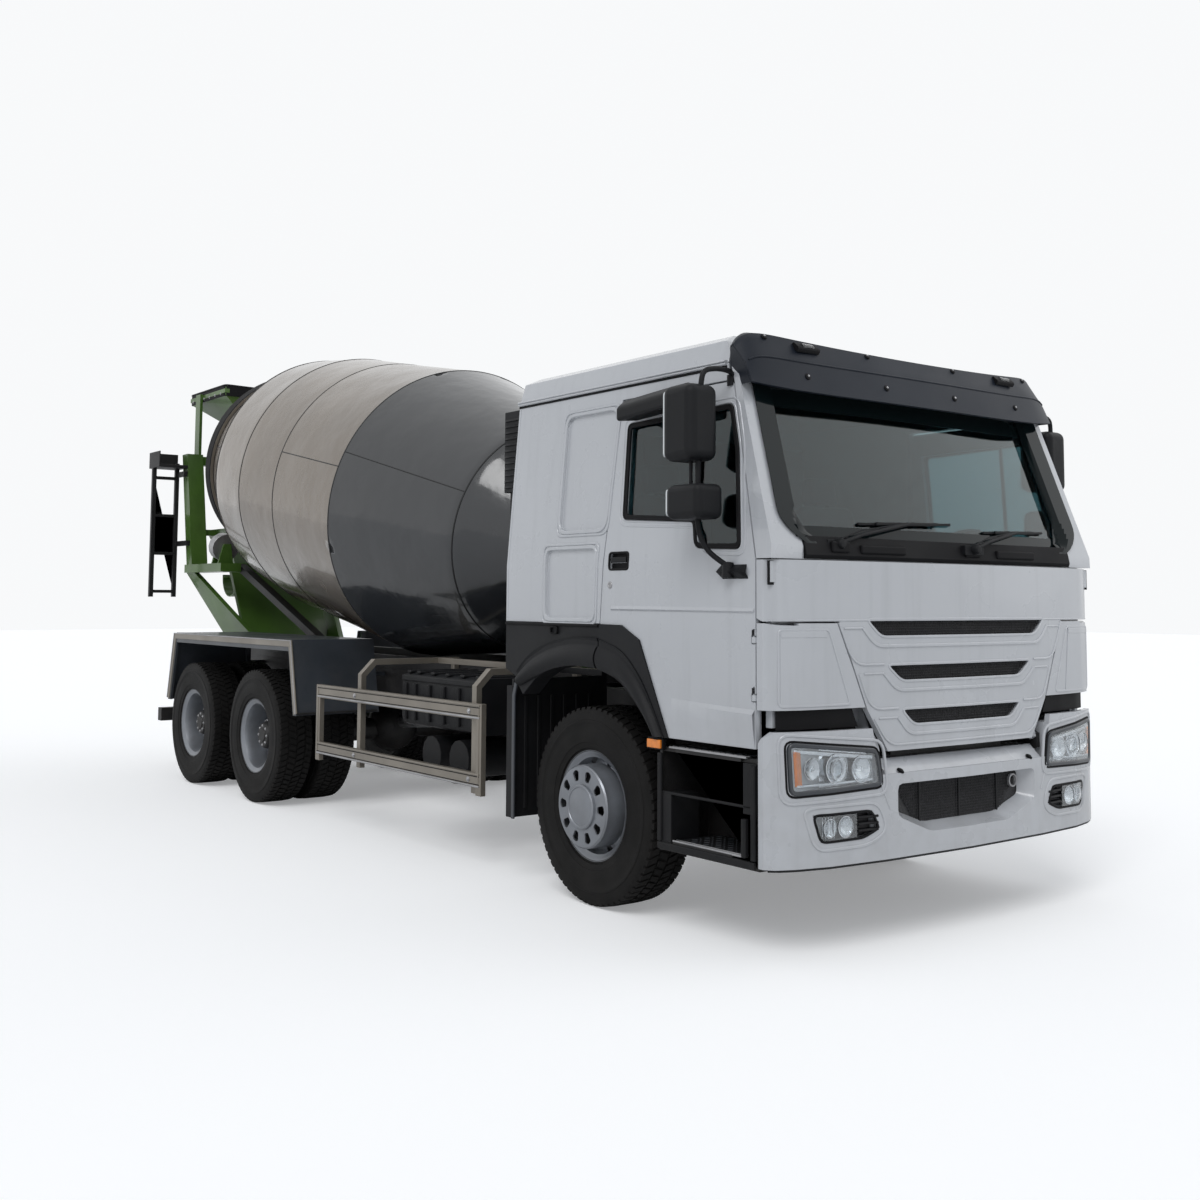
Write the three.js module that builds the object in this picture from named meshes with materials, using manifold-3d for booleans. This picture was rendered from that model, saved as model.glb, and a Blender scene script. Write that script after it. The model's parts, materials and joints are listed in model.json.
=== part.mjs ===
// Concrete mixer truck, three axles: tilting sleeper cab, revolving drum, hopper and discharge chute.
// Millimetres, +Z up. The truck faces -Y and its left side is +X. Inside the truck group y = 0 is the
// front axle and z = 0 the ground; the group then moves along Y so that the origin is under its middle.

import * as THREE from 'three';
import { mergeVertices } from 'three/addons/utils/BufferGeometryUtils.js';
import Module from 'manifold-3d';

const wasm = await Module();
wasm.setup();

// ---------------------------------------------------------------- driving dimensions

// Clearances
const SEAT_GAP = 0.3;            // between fixed neighbours
const PIN_GAP = 0.3;             // between a pin and the flats of its bore
const MOVE_GAP = 6;              // between a moving piece and its neighbours
const DOOR_GAP = 8;              // shut line round a door
const GLASS_GAP = 0.3;

// Wheels and axles
const WHEELBASE = 4400;          // front axle to first drive axle
const TANDEM_SPACING = 1350;
const AXLE_HEIGHT = 520;
const WHEEL_SIDES = 16;
const TYRE_WIDTH = 290;
const RIM_RADIUS = 240;
const FRONT_WHEEL_OFFSET = 1040; // truck centre line to the middle of a front tyre
const DUAL_OFFSET = 915;         // truck centre line to the middle of a twin pair
const DUAL_SPACING = 350;
const KINGPIN_OFFSET = 915;
const SPINDLE_RADIUS = 40;
const REAR_SPINDLE_RADIUS = 60;

// Chassis
const FRAME_FRONT = -1380;
const FRAME_REAR = 7000;
const FRAME_TOP = 1060;
const FRAME_HEIGHT = 300;
const FRAME_HALF_WIDTH = 430;
const RAIL_FLANGE = 80;
const RAIL_WALL = 12;
const SUBFRAME_HEIGHT = 100;
const SUBFRAME_FRONT = 1180;

// Cab
const BODY_HALF_WIDTH = 1243;
const CAB_REAR = 757;
const WALL = 60;
const SKIN = 30;
const PANEL_BOTTOM = 1476;       // lower edge of the light side panels
const CLADDING_BOTTOM = 1207;
const DOOR_BOTTOM = 935;
const WAIST = 1788;
const RAIL_HEIGHT = 2735;        // where the side wall meets the roof
const DOOR_FRONT = -1300;
const DOOR_REAR = -140;
const SCREEN_BASE = 1895;
const SCREEN_TOP = 2640;
const SCREEN_LEAN = 0.345;       // rearward shift of the windscreen per unit of height
const FLOOR_HEIGHT = 1300;
const CAB_PIVOT = { y: -1440, z: 905 };
const CAB_PIVOT_OFFSET = 600;
const CAB_PIN_RADIUS = 10;
const LID_TOP = 1786;
const LID_SEAM = 1515;
const LID_BOTTOM = 900;
const DRIVER_OFFSET = 640;

// Bumper
const BUMPER_TOP = 1015;
const BUMPER_BOTTOM = 412;
const BUMPER_SKIN = 30;

// Drum: its axis rises rearward through (y, z) = (DRUM_Y, DRUM_Z)
const DRUM_Y = 2000;
const DRUM_Z = 2010;
const DRUM_SLOPE = THREE.MathUtils.degToRad(10.92);
const DRUM_SIDES = 24;
const DRUM_WALL = 8;
const DRUM_FLANGE = { radius: 200, from: -330, to: -300 };
const DRUM_PROFILE = [
  [550, -300], [821, 90], [1138, 1361], [1135, 2407], [1142, 3101], [1092, 3771],
  [868, 4430], [868, 4570], [560, 5050],
];
const RING_POSITION = 4500;      // roller path, measured along the axis
const RING_SEAT_RADIUS = 868;
const RING_RADIUS = 900;
const RING_WIDTH = 120;
const ROLLER_RADIUS = 130;
const ROLLER_WIDTH = 110;
const ROLLER_ANGLE = THREE.MathUtils.degToRad(40);
const ROLLER_PIN = 25;

// Rear works
const POST_HALF_SPAN = 560;      // inner faces of the two rear posts
const POST_WIDTH = 160;
const POST_DEPTH = 145;
const POST_BASE_Y = 7255;
const POST_LEAN = 0.183;
const POST_TOP = 3050;
const PLATFORM_TOP = 1930;
const PLATFORM_THICKNESS = 80;
const HOPPER_REAR = 7830;
const HOPPER_TOP = 3680;
const HOPPER_HALF_WIDTH = 560;
const SHEET = 10;
const CHUTE_PIVOT = { y: 7650, z: 1560 };
const CHUTE_RADIUS = 200;
const CHUTE_LENGTH = 1150;
const CHUTE_BACK = 170;
const CHUTE_POST_RADIUS = 30;
const CHUTE_PIN_RADIUS = 16;

const FRONT_END = -1525;

// ---------------------------------------------------------------- geometry helpers

const ROD_SIDES = 10;
const PIN_SIDES = 16;
const RIGHT = -1;
const LEFT = 1;
const SIDES = [{ side: RIGHT, label: 'right' }, { side: LEFT, label: 'left' }];

function signedVolume(position, index) {
  const a = new THREE.Vector3();
  const b = new THREE.Vector3();
  const c = new THREE.Vector3();
  let volume = 0;
  for (let i = 0; i < index.length; i += 3) {
    a.fromArray(position, 3 * index[i]);
    b.fromArray(position, 3 * index[i + 1]);
    c.fromArray(position, 3 * index[i + 2]);
    volume += a.dot(b.cross(c)) / 6;
  }
  return volume;
}

// Turns a closed three.js geometry into a solid with its faces pointing out.
function solid(geometry) {
  geometry.deleteAttribute('normal');
  geometry.deleteAttribute('uv');
  const merged = mergeVertices(geometry, 1e-3);
  const position = merged.attributes.position.array;
  const source = merged.index.array;
  const index = [];
  for (let i = 0; i < source.length; i += 3) {
    const [a, b, c] = [source[i], source[i + 1], source[i + 2]];
    if (a !== b && b !== c && c !== a) index.push(a, b, c);
  }
  if (signedVolume(position, index) < 0) index.reverse();
  const mesh = new wasm.Mesh({
    numProp: 3,
    vertProperties: new Float32Array(position),
    triVerts: new Uint32Array(index),
  });
  return new wasm.Manifold(mesh);
}

function join(...solids) {
  return solids.reduce((whole, piece) => whole.add(piece));
}

function cut(body, ...tools) {
  return tools.reduce((whole, tool) => whole.subtract(tool), body);
}

function common(a, b) {
  return a.intersect(b);
}

function outline(points) {
  return new THREE.Shape(points.map(([a, b]) => new THREE.Vector2(a, b)));
}

// Outline with each corner rounded: a point is [a, b] or [a, b, radius].
function rounded(points, radius) {
  const shape = new THREE.Shape();
  points.forEach(([a, b, own], i) => {
    const corner = new THREE.Vector2(a, b);
    const before = new THREE.Vector2(...points.at(i - 1));
    const after = new THREE.Vector2(...points[(i + 1) % points.length]);
    const size = own ?? radius;
    const start = corner.clone().add(before.sub(corner).setLength(size));
    const end = corner.clone().add(after.sub(corner).setLength(size));
    if (i === 0) shape.moveTo(start.x, start.y);
    if (i > 0) shape.lineTo(start.x, start.y);
    shape.quadraticCurveTo(corner.x, corner.y, end.x, end.y);
  });
  shape.closePath();
  return shape;
}

// Convex or gently concave outline moved inward by a distance along each edge's normal.
function shrunk(points, distance) {
  const clockwise = THREE.ShapeUtils.area(points.map(([a, b]) => ({ x: a, y: b }))) < 0;
  const turn = clockwise ? -distance : distance;
  return points.map(([a, b], i) => {
    const here = new THREE.Vector2(a, b);
    const into = here.clone().sub(new THREE.Vector2(...points.at(i - 1))).normalize();
    const away = new THREE.Vector2(...points[(i + 1) % points.length]).sub(here).normalize();
    const normal = new THREE.Vector2(-into.y - away.y, into.x + away.x).normalize();
    const share = normal.x * -into.y + normal.y * into.x;
    return here.addScaledVector(normal, turn / share).toArray();
  });
}

function extrusion(shape, depth, curveSegments = 2) {
  return new THREE.ExtrudeGeometry(shape, { depth, bevelEnabled: false, curveSegments });
}

function asShape(points) {
  return Array.isArray(points) ? outline(points) : points;
}

// Prism whose outline lies in the YZ plane, from x = from to x = to.
function prismX(points, from, to) {
  const geometry = extrusion(asShape(points), Math.abs(to - from));
  geometry.applyMatrix4(new THREE.Matrix4().set(0, 0, 1, Math.min(from, to), 1, 0, 0, 0, 0, 1, 0, 0, 0, 0, 0, 1));
  return solid(geometry);
}

// Prism whose outline lies in the XZ plane, from y = from to y = to.
function prismY(points, from, to) {
  const geometry = extrusion(asShape(points), Math.abs(to - from));
  geometry.applyMatrix4(new THREE.Matrix4().set(1, 0, 0, 0, 0, 0, 1, Math.min(from, to), 0, 1, 0, 0, 0, 0, 0, 1));
  return solid(geometry);
}

// Prism whose outline lies in the XY plane, from z = from to z = to, leaning rearward with height.
function prismZ(points, from, to, lean = 0, leanFrom = from) {
  const geometry = extrusion(asShape(points), to - from);
  geometry.translate(0, 0, from);
  geometry.applyMatrix4(
    new THREE.Matrix4().set(1, 0, 0, 0, 0, 1, lean, -lean * leanFrom, 0, 0, 1, 0, 0, 0, 0, 1));
  return solid(geometry);
}

function box(x0, x1, y0, y1, z0, z1) {
  const geometry = new THREE.BoxGeometry(Math.abs(x1 - x0), y1 - y0, z1 - z0);
  geometry.translate((x0 + x1) / 2, (y0 + y1) / 2, (z0 + z1) / 2);
  return solid(geometry);
}

// Box on one side of the truck, measured outward from the centre line.
function sideBox(side, inner, outer, y0, y1, z0, z1) {
  return box(side * inner, side * outer, y0, y1, z0, z1);
}

function boxAt(centre, size) {
  const [x, y, z] = centre;
  const [a, b, c] = size.map((length) => length / 2);
  return box(x - a, x + a, y - b, y + b, z - c, z + c);
}

// Cylinder from one point to another.
function rod(from, to, radius, sides = ROD_SIDES) {
  const start = new THREE.Vector3(...from);
  const end = new THREE.Vector3(...to);
  const geometry = new THREE.CylinderGeometry(radius, radius, start.distanceTo(end), sides);
  const direction = end.clone().sub(start).normalize();
  geometry.applyQuaternion(new THREE.Quaternion().setFromUnitVectors(new THREE.Vector3(0, 1, 0), direction));
  const middle = start.add(end).multiplyScalar(0.5);
  geometry.translate(middle.x, middle.y, middle.z);
  return solid(geometry);
}

function pinRod(from, to, radius) {
  return rod(from, to, radius, PIN_SIDES);
}

// Radius of a faceted bore whose flats clear a pin.
function boreRadius(pin, sides = PIN_SIDES) {
  return (pin + PIN_GAP) / Math.cos(Math.PI / sides);
}

// Six-faced solid between a lower and an upper rectangle: each is { x: half width, y: [front, rear], z }.
function frustum(lower, upper) {
  const corners = [lower, upper].flatMap(({ x, y, z }) => [
    [-x, y[0], z], [x, y[0], z], [x, y[1], z], [-x, y[1], z],
  ]);
  const faces = [
    0, 2, 1, 0, 3, 2, 4, 5, 6, 4, 6, 7,
    0, 1, 5, 0, 5, 4, 1, 2, 6, 1, 6, 5, 2, 3, 7, 2, 7, 6, 3, 0, 4, 3, 4, 7,
  ];
  const geometry = new THREE.BufferGeometry();
  geometry.setAttribute('position', new THREE.Float32BufferAttribute(corners.flat(), 3));
  geometry.setIndex(faces);
  return solid(geometry);
}

function finish(color, roughness, metalness) {
  return { color, roughness, metalness };
}

const FINISHES = {
  white: finish(0xdfe2e8, 0.3, 0.1),
  black: finish(0x151617, 0.6, 0.2),
  plastic: finish(0x26282b, 0.7, 0.0),
  steel: finish(0xa7a5a0, 0.4, 0.8),
  silver: finish(0xb9b2a3, 0.45, 0.6),
  slate: finish(0x343a44, 0.5, 0.4),
  green: finish(0x3c6b1e, 0.45, 0.3),
  taupe: finish(0x8c8274, 0.3, 0.5),
  charcoal: finish(0x2f3238, 0.35, 0.4),
  rubber: finish(0x17181a, 0.85, 0.0),
  glass: finish(0x1d2b2e, 0.08, 0.0),
  fabric: finish(0x4a4d52, 0.9, 0.0),
};

function finishOf(name) {
  return FINISHES[name];
}

function part(name, body, look, position = [0, 0, 0]) {
  const { vertProperties, triVerts } = body.getMesh();
  const geometry = new THREE.BufferGeometry();
  geometry.setAttribute('position', new THREE.BufferAttribute(new Float32Array(vertProperties), 3));
  geometry.setIndex(new THREE.BufferAttribute(new Uint32Array(triVerts), 1));
  const mesh = new THREE.Mesh(geometry, new THREE.MeshStandardMaterial(look));
  mesh.name = name;
  mesh.position.set(...position);
  return mesh;
}

function group(...children) {
  const whole = new THREE.Group();
  whole.add(...children);
  return whole;
}

// ---------------------------------------------------------------- chassis

const FRAME_BOTTOM = FRAME_TOP - FRAME_HEIGHT;
const SUBFRAME_TOP = FRAME_TOP + SUBFRAME_HEIGHT;
const DRIVE_AXLES = [WHEELBASE, WHEELBASE + TANDEM_SPACING];
const BOGIE_Y = WHEELBASE + TANDEM_SPACING / 2;

function channelRail(side) {
  const web = FRAME_HALF_WIDTH - RAIL_WALL;
  const lip = FRAME_HALF_WIDTH - RAIL_FLANGE;
  const section = [
    [FRAME_HALF_WIDTH, FRAME_BOTTOM], [FRAME_HALF_WIDTH, FRAME_TOP], [lip, FRAME_TOP],
    [lip, FRAME_TOP - RAIL_WALL], [web, FRAME_TOP - RAIL_WALL], [web, FRAME_BOTTOM + RAIL_WALL],
    [lip, FRAME_BOTTOM + RAIL_WALL], [lip, FRAME_BOTTOM],
  ];
  return prismY(section.map(([x, z]) => [side * x, z]), FRAME_FRONT, FRAME_REAR);
}

// Arm on the front cross beam that holds one cab tilt pin.
function cabHingeArm(side) {
  const inner = CAB_PIVOT_OFFSET + 26;
  const outer = inner + 24;
  const { y, z } = CAB_PIVOT;
  const arm = prismX([[y - 22, z - 60], [FRAME_FRONT + 40, z - 105], [FRAME_FRONT + 40, z - 40], [y, z + 22],
    [y - 22, z + 12]], side * inner, side * outer);
  const beam = sideBox(side, FRAME_HALF_WIDTH - 20, outer, FRAME_FRONT, FRAME_FRONT + 40, z - 105, z - 40);
  const pin = pinRod([side * (CAB_PIVOT_OFFSET - 4), y, z], [side * outer, y, z], CAB_PIN_RADIUS);
  return join(arm, beam, pin);
}

function chassisFrame() {
  const crossBeams = [1420, 2500, 3850, BOGIE_Y, FRAME_REAR - 60];
  const web = FRAME_HALF_WIDTH - RAIL_WALL / 2;
  const beams = crossBeams.map((y) => box(-web, web, y, y + 60, FRAME_TOP - 160, FRAME_TOP - 20));
  const front = box(-FRAME_HALF_WIDTH, FRAME_HALF_WIDTH, FRAME_FRONT, FRAME_FRONT + 40, 600, FRAME_TOP - 40);
  const underrunY = FRAME_REAR - 160;
  const underrun = box(-1120, 1120, underrunY, underrunY + 90, 450, 570);
  const hangers = SIDES.map(({ side }) => sideBox(
    side, FRAME_HALF_WIDTH - RAIL_FLANGE, FRAME_HALF_WIDTH, underrunY + 10, underrunY + 80, 500, FRAME_BOTTOM + 5));
  const towEye = box(-60, 60, FRAME_REAR, FRAME_REAR + 50, FRAME_BOTTOM + 90, FRAME_TOP - 60);
  return part('chassis_frame', join(
    channelRail(RIGHT), channelRail(LEFT), front, ...beams, underrun, ...hangers, towEye,
    cabHingeArm(RIGHT), cabHingeArm(LEFT)), finishOf('black'));
}

const EYE_RADIUS = 55;
const EYE_BOTTOM = 440;
const EYE_TOP = 600;
const KINGPIN_RADIUS = 25;

function frontSpring(side) {
  const inner = FRAME_HALF_WIDTH - RAIL_FLANGE;
  const leaves = prismX([[-860, 700], [-400, 590], [400, 590], [860, 700], [860, 735], [450, 650], [-450, 650],
    [-860, 735]], side * inner, side * FRAME_HALF_WIDTH);
  const pad = sideBox(side, inner, FRAME_HALF_WIDTH, -60, 60, 440, 600);
  const hangers = [-860, 860].map((y) => sideBox(
    side, inner, FRAME_HALF_WIDTH, y - 40, y + 40, 695, FRAME_BOTTOM - SEAT_GAP));
  return join(leaves, pad, ...hangers);
}

function frontAxle() {
  const half = [[0, 380], [540, 380], [720, 460], [KINGPIN_OFFSET - 20, 460], [KINGPIN_OFFSET - 20, 570],
    [700, 570], [520, 480], [0, 480]];
  const beam = SIDES.map(({ side }) => prismY(half.map(([x, z]) => [side * x, z]), -45, 45));
  const eyes = SIDES.map(({ side }) => {
    const x = side * KINGPIN_OFFSET;
    return rod([x, 0, EYE_BOTTOM], [x, 0, EYE_TOP], EYE_RADIUS);
  });
  const bores = SIDES.map(({ side }) => {
    const x = side * KINGPIN_OFFSET;
    return pinRod([x, 0, EYE_BOTTOM - 10], [x, 0, EYE_TOP + 10], boreRadius(KINGPIN_RADIUS));
  });
  const body = cut(join(...beam, ...eyes), ...bores);
  return part('front_axle', join(body, frontSpring(RIGHT), frontSpring(LEFT)), finishOf('black'));
}

const ARM_REACH = 200;
const ARM_INSET = 70;
const TIE_ROD_HEIGHT = 352;
const TIE_PIN_RADIUS = 14;

// Steering knuckle: fork round the axle eye, kingpin, spindle and steering arm.
function knuckle(side, label) {
  const x = side * KINGPIN_OFFSET;
  const lowEar = EYE_BOTTOM - MOVE_GAP;
  const highEar = EYE_TOP + MOVE_GAP;
  const cheek = KINGPIN_OFFSET + EYE_RADIUS + MOVE_GAP + 3;
  const ears = [
    rod([x, 0, lowEar - 44], [x, 0, lowEar], 60),
    rod([x, 0, highEar], [x, 0, highEar + 44], 60),
    sideBox(side, KINGPIN_OFFSET, cheek + 26, -50, 50, lowEar - 44, lowEar),
    sideBox(side, KINGPIN_OFFSET, cheek + 26, -50, 50, highEar, highEar + 44),
  ];
  const web = sideBox(side, cheek, cheek + 26, -60, 60, lowEar - 44, highEar + 44);
  const pin = pinRod([x, 0, lowEar - 20], [x, 0, highEar + 20], KINGPIN_RADIUS);
  const spindleEnd = side * (FRONT_WHEEL_OFFSET + 100);
  const spindle = rod([side * (cheek + 10), 0, AXLE_HEIGHT], [spindleEnd, 0, AXLE_HEIGHT], SPINDLE_RADIUS, WHEEL_SIDES);
  const tieX = KINGPIN_OFFSET - ARM_INSET;
  const plan = [[KINGPIN_OFFSET - 35, -20], [KINGPIN_OFFSET + 30, 20], [tieX + 28, ARM_REACH + 20],
    [tieX, ARM_REACH + 32], [tieX - 28, ARM_REACH + 10]];
  const arm = prismZ(plan.map(([a, b]) => [side * a, b]), lowEar - 40, lowEar - 10);
  const bore = pinRod([side * tieX, ARM_REACH, lowEar - 50], [side * tieX, ARM_REACH, lowEar],
    boreRadius(TIE_PIN_RADIUS));
  return part(`knuckle_${label}`, cut(join(...ears, web, pin, spindle, arm), bore), finishOf('black'));
}

// Rod between the steering arms: its pin is in the right arm, and its left end runs free under the left arm.
function tieRod() {
  const armBottom = EYE_BOTTOM - MOVE_GAP - 40;
  const tieX = KINGPIN_OFFSET - ARM_INSET;
  const bar = rod([-tieX, ARM_REACH, TIE_ROD_HEIGHT], [tieX, ARM_REACH, TIE_ROD_HEIGHT], 20);
  const bosses = SIDES.map(({ side }) => rod(
    [side * tieX, ARM_REACH, TIE_ROD_HEIGHT - 25], [side * tieX, ARM_REACH, armBottom - MOVE_GAP], 30));
  const pin = pinRod([RIGHT * tieX, ARM_REACH, TIE_ROD_HEIGHT], [RIGHT * tieX, ARM_REACH, armBottom + 28],
    TIE_PIN_RADIUS);
  return part('tie_rod', join(bar, ...bosses, pin), finishOf('black'));
}

const BANJO_RADIUS = 220;

function driveAxle(y) {
  const housing = rod([-700, y, AXLE_HEIGHT], [700, y, AXLE_HEIGHT], 90);
  const end = DUAL_OFFSET + 20;
  const spindles = rod([-end, y, AXLE_HEIGHT], [end, y, AXLE_HEIGHT], REAR_SPINDLE_RADIUS, WHEEL_SIDES);
  const banjo = new THREE.SphereGeometry(BANJO_RADIUS, 12, 6);
  banjo.scale(1, 0.9, 1);
  banjo.translate(0, y, AXLE_HEIGHT + 20);
  return join(housing, spindles, solid(banjo));
}

function rearBogie() {
  const inner = FRAME_HALF_WIDTH + 10;
  const outer = inner + 90;
  const housingTop = AXLE_HEIGHT + 90;
  const [first, second] = DRIVE_AXLES;
  const leafOutline = [[first - 80, housingTop], [first + 80, housingTop], [BOGIE_Y - 175, 650],
    [BOGIE_Y + 175, 650], [second - 80, housingTop], [second + 80, housingTop], [second + 80, housingTop + 38],
    [BOGIE_Y + 175, 745], [BOGIE_Y - 175, 745], [first - 80, housingTop + 38]];
  const sides = SIDES.flatMap(({ side }) => [
    prismX(leafOutline, side * inner, side * outer),
    ...DRIVE_AXLES.map((y) => sideBox(side, inner, outer, y - 60, y + 60, AXLE_HEIGHT, housingTop + 10)),
    sideBox(side, FRAME_HALF_WIDTH - RAIL_FLANGE, outer, BOGIE_Y - 80, BOGIE_Y + 80, 640, FRAME_BOTTOM - SEAT_GAP),
    sideBox(side, inner, outer, BOGIE_Y - 70, BOGIE_Y + 70, 480, 700),
  ]);
  const trunnion = rod([-outer, BOGIE_Y, 540], [outer, BOGIE_Y, 540], 55);
  const shaft = rod([0, first + 100, AXLE_HEIGHT + 60], [0, second - 100, AXLE_HEIGHT + 60], 45);
  return part('rear_bogie', join(...DRIVE_AXLES.map(driveAxle), trunnion, ...sides, shaft), finishOf('black'));
}

const ENGINE_REAR = 520;
const GEARBOX_REAR = 1250;

function engineBlock() {
  const block = prismY([[-330, 700], [-200, 620], [200, 620], [330, 700], [330, 1300], [240, 1390],
    [-240, 1390], [-330, 1300]], -700, ENGINE_REAR);
  const gearbox = prismY([[-210, 700], [-130, 640], [130, 640], [210, 700], [210, 980], [130, 1030],
    [-130, 1030], [-210, 980]], ENGINE_REAR, GEARBOX_REAR);
  const feet = [-500, 300].flatMap((y) => SIDES.map(({ side }) => sideBox(
    side, 320, FRAME_HALF_WIDTH, y, y + 120, FRAME_TOP + SEAT_GAP, FRAME_TOP + 50)));
  return part('engine_block', join(block, gearbox, ...feet), finishOf('steel'));
}

function driveShaft() {
  const front = [0, GEARBOX_REAR + SEAT_GAP, 830];
  const rear = [0, WHEELBASE - 150, AXLE_HEIGHT + 60];
  const shaft = rod(front, rear, 50);
  const flange = rod(front, [0, GEARBOX_REAR + 40, 828], 80);
  const banjo = new THREE.SphereGeometry(BANJO_RADIUS + SEAT_GAP, 12, 6);
  banjo.scale(1, 0.9, 1);
  banjo.translate(0, WHEELBASE, AXLE_HEIGHT + 20);
  const ahead = box(-200, 200, GEARBOX_REAR + SEAT_GAP, WHEELBASE, 400, 1000);
  return part('drive_shaft', cut(common(join(shaft, flange), ahead), solid(banjo)), finishOf('steel'));
}

// ---------------------------------------------------------------- bumper, steps and side equipment

// Plan of a nose-shaped piece: crown on the centre line, points down one side, closed straight across at
// the rear. The inset moves the whole front inward.
function nosePlan(inset, rear, crown, points) {
  const widest = points.at(-1)[0] - inset;
  const half = points.map(([x, y]) => [Math.min(x, widest), y + inset]);
  const mirrored = half.map(([x, y]) => [-x, y]).reverse();
  return [[-widest, rear], ...mirrored, [0, crown + inset], ...half, [widest, rear]];
}

const BUMPER_REAR = -1319;
const BUMPER_PLAN = [[600, -1508], [950, -1475], [1130, -1430], [1215, -1390], [1248, -1350]];

function bumperBody(inset) {
  return prismZ(nosePlan(inset, BUMPER_REAR, FRONT_END, BUMPER_PLAN), BUMPER_BOTTOM - 1, BUMPER_TOP + 1);
}

function frontBumper() {
  const face = prismY([
    [-1260, BUMPER_BOTTOM], [1260, BUMPER_BOTTOM], [1260, 975], [1215, BUMPER_TOP], [690, BUMPER_TOP],
    [640, 800], [-640, 800], [-690, BUMPER_TOP], [-1215, BUMPER_TOP], [-1260, 975],
  ], FRONT_END - 5, BUMPER_REAR + 5);
  const shell = cut(bumperBody(0), bumperBody(BUMPER_SKIN));
  const mouth = prismY(rounded([[-300, 512], [300, 512], [530, 600], [530, 750], [-530, 750], [-530, 600]], 30),
    FRONT_END - 5, BUMPER_REAR);
  const rearChamfer = SIDES.map(({ side }) => prismX([[-1360, BUMPER_TOP + 2], [BUMPER_REAR + 1, 960],
    [BUMPER_REAR + 1, BUMPER_TOP + 2]], side * 1200, side * 1260));
  const pockets = SIDES.flatMap(({ side }) => [
    prismY(rounded([[650, 765], [1140, 748], [1150, 955], [680, 905]], 20)
      .getPoints(3).map(({ x, y }) => [side * x, y]), FRONT_END - 5, -1440),
    prismY([[650, 560], [760, 521], [1000, 521], [1040, 644], [700, 644]]
      .map(([x, z]) => [side * x, z]), FRONT_END - 5, -1440),
  ]);
  const backing = SIDES.flatMap(({ side }) => [
    sideBox(side, 662, 1170, -1420, -1400, 500, 975),
  ]);
  const ledge = prismX([[-1500, 778], [-1500, 800], [-1436, 862], [-1416, 862], [-1416, 840], [-1478, 778]],
    -600, 600);
  const brackets = SIDES.map(({ side }) => sideBox(
    side, 340, FRAME_HALF_WIDTH, -1500, FRAME_FRONT - SEAT_GAP, 755, 790));
  const ribs = SIDES.flatMap(({ side }) => [
    sideBox(side, 662, 682, -1485, -1400, 470, 975),
    sideBox(side, 1150, 1170, -1440, -1400, 470, 975),
  ]);
  const skin = cut(common(shell, face), mouth, ...pockets, ...rearChamfer);
  const inside = common(join(...backing, ...ribs), bumperBody(BUMPER_SKIN - 5));
  return part('front_bumper', join(skin, inside, ledge, ...brackets), finishOf('white'));
}

// Two steps below the door on a carrier bolted to the frame.
function stepBox(side, label) {
  const front = -1306;
  const rear = -608;
  const back = sideBox(side, 900, 925, front, rear, 400, 890);
  const frontWall = sideBox(side, 900, 1225, front, front + 20, 400, 890);
  const rearWall = sideBox(side, 900, 1225, rear - 20, rear, 390, 890);
  const treads = [[870, 890, -1198, -742], [425, 445, -1137, -721]].map(([low, high, y0, y1]) => sideBox(
    side, 905, 1240, y0, y1, low, high));
  const shelves = [[868, 888], [392, 412]].map(([low, high]) => sideBox(side, 900, 1225, front, rear, low, high));
  const carrier = [-1250, -760].map((y) => sideBox(
    side, FRAME_HALF_WIDTH + SEAT_GAP, 910, y, y + 60, FRAME_BOTTOM + 20, FRAME_BOTTOM + 80));
  return part(`step_box_${label}`, join(back, frontWall, rearWall, ...treads, ...shelves, ...carrier),
    finishOf('black'));
}

const GUARD_OUTER = 1243;
const GUARD_FRONT = 1010;
const GUARD_REAR = 3240;

function sideGuard(side, label) {
  const inner = GUARD_OUTER - 35;
  const rails = [[892, 985], [496, 580]].map(([low, high]) => sideBox(
    side, inner, GUARD_OUTER, GUARD_FRONT, GUARD_REAR, low, high));
  const posts = [GUARD_FRONT, GUARD_REAR - 60].map((y) => sideBox(
    side, inner, GUARD_OUTER, y, y + 60, 450, 985));
  const hangers = [1150, 2640].flatMap((y) => {
    const bend = [[inner - 40, 450], [inner, 450], [inner, 1085], [inner - 100, 1185],
      [FRAME_HALF_WIDTH + SEAT_GAP, 1185], [FRAME_HALF_WIDTH + SEAT_GAP, 1145], [inner - 117, 1145],
      [inner - 40, 1068]];
    return [prismY(bend.map(([x, z]) => [side * x, z]), y - 25, y + 25)];
  });
  const feet = [1150, 2640].map((y) => sideBox(
    side, FRAME_HALF_WIDTH + SEAT_GAP, FRAME_HALF_WIDTH + 40, y - 25, y + 25, 1000, 1150));
  const carrier = sideBox(side, 560, 600, 690, 2640, 1145, 1185);
  const mudPanel = sideBox(side, 560, 1228, 690, 710, 373, 1150);
  const mudEdge = sideBox(side, 1213, GUARD_OUTER, 680, 740, 373, 1111);
  return part(`side_guard_${label}`, join(...rails, ...posts, ...hangers, ...feet, carrier, mudPanel, mudEdge),
    finishOf('silver'));
}

function fuelTank() {
  const tank = prismY(rounded([[520, 640], [1120, 640], [1120, 1100], [520, 1100]], 90), 1300, 2560);
  const straps = [1450, 2350].map((y) => prismY([[FRAME_HALF_WIDTH + SEAT_GAP, 780], [540, 780], [540, 1040],
    [FRAME_HALF_WIDTH + SEAT_GAP, 1040]], y, y + 80));
  return part('fuel_tank', join(tank, ...straps), finishOf('steel'));
}

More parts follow.
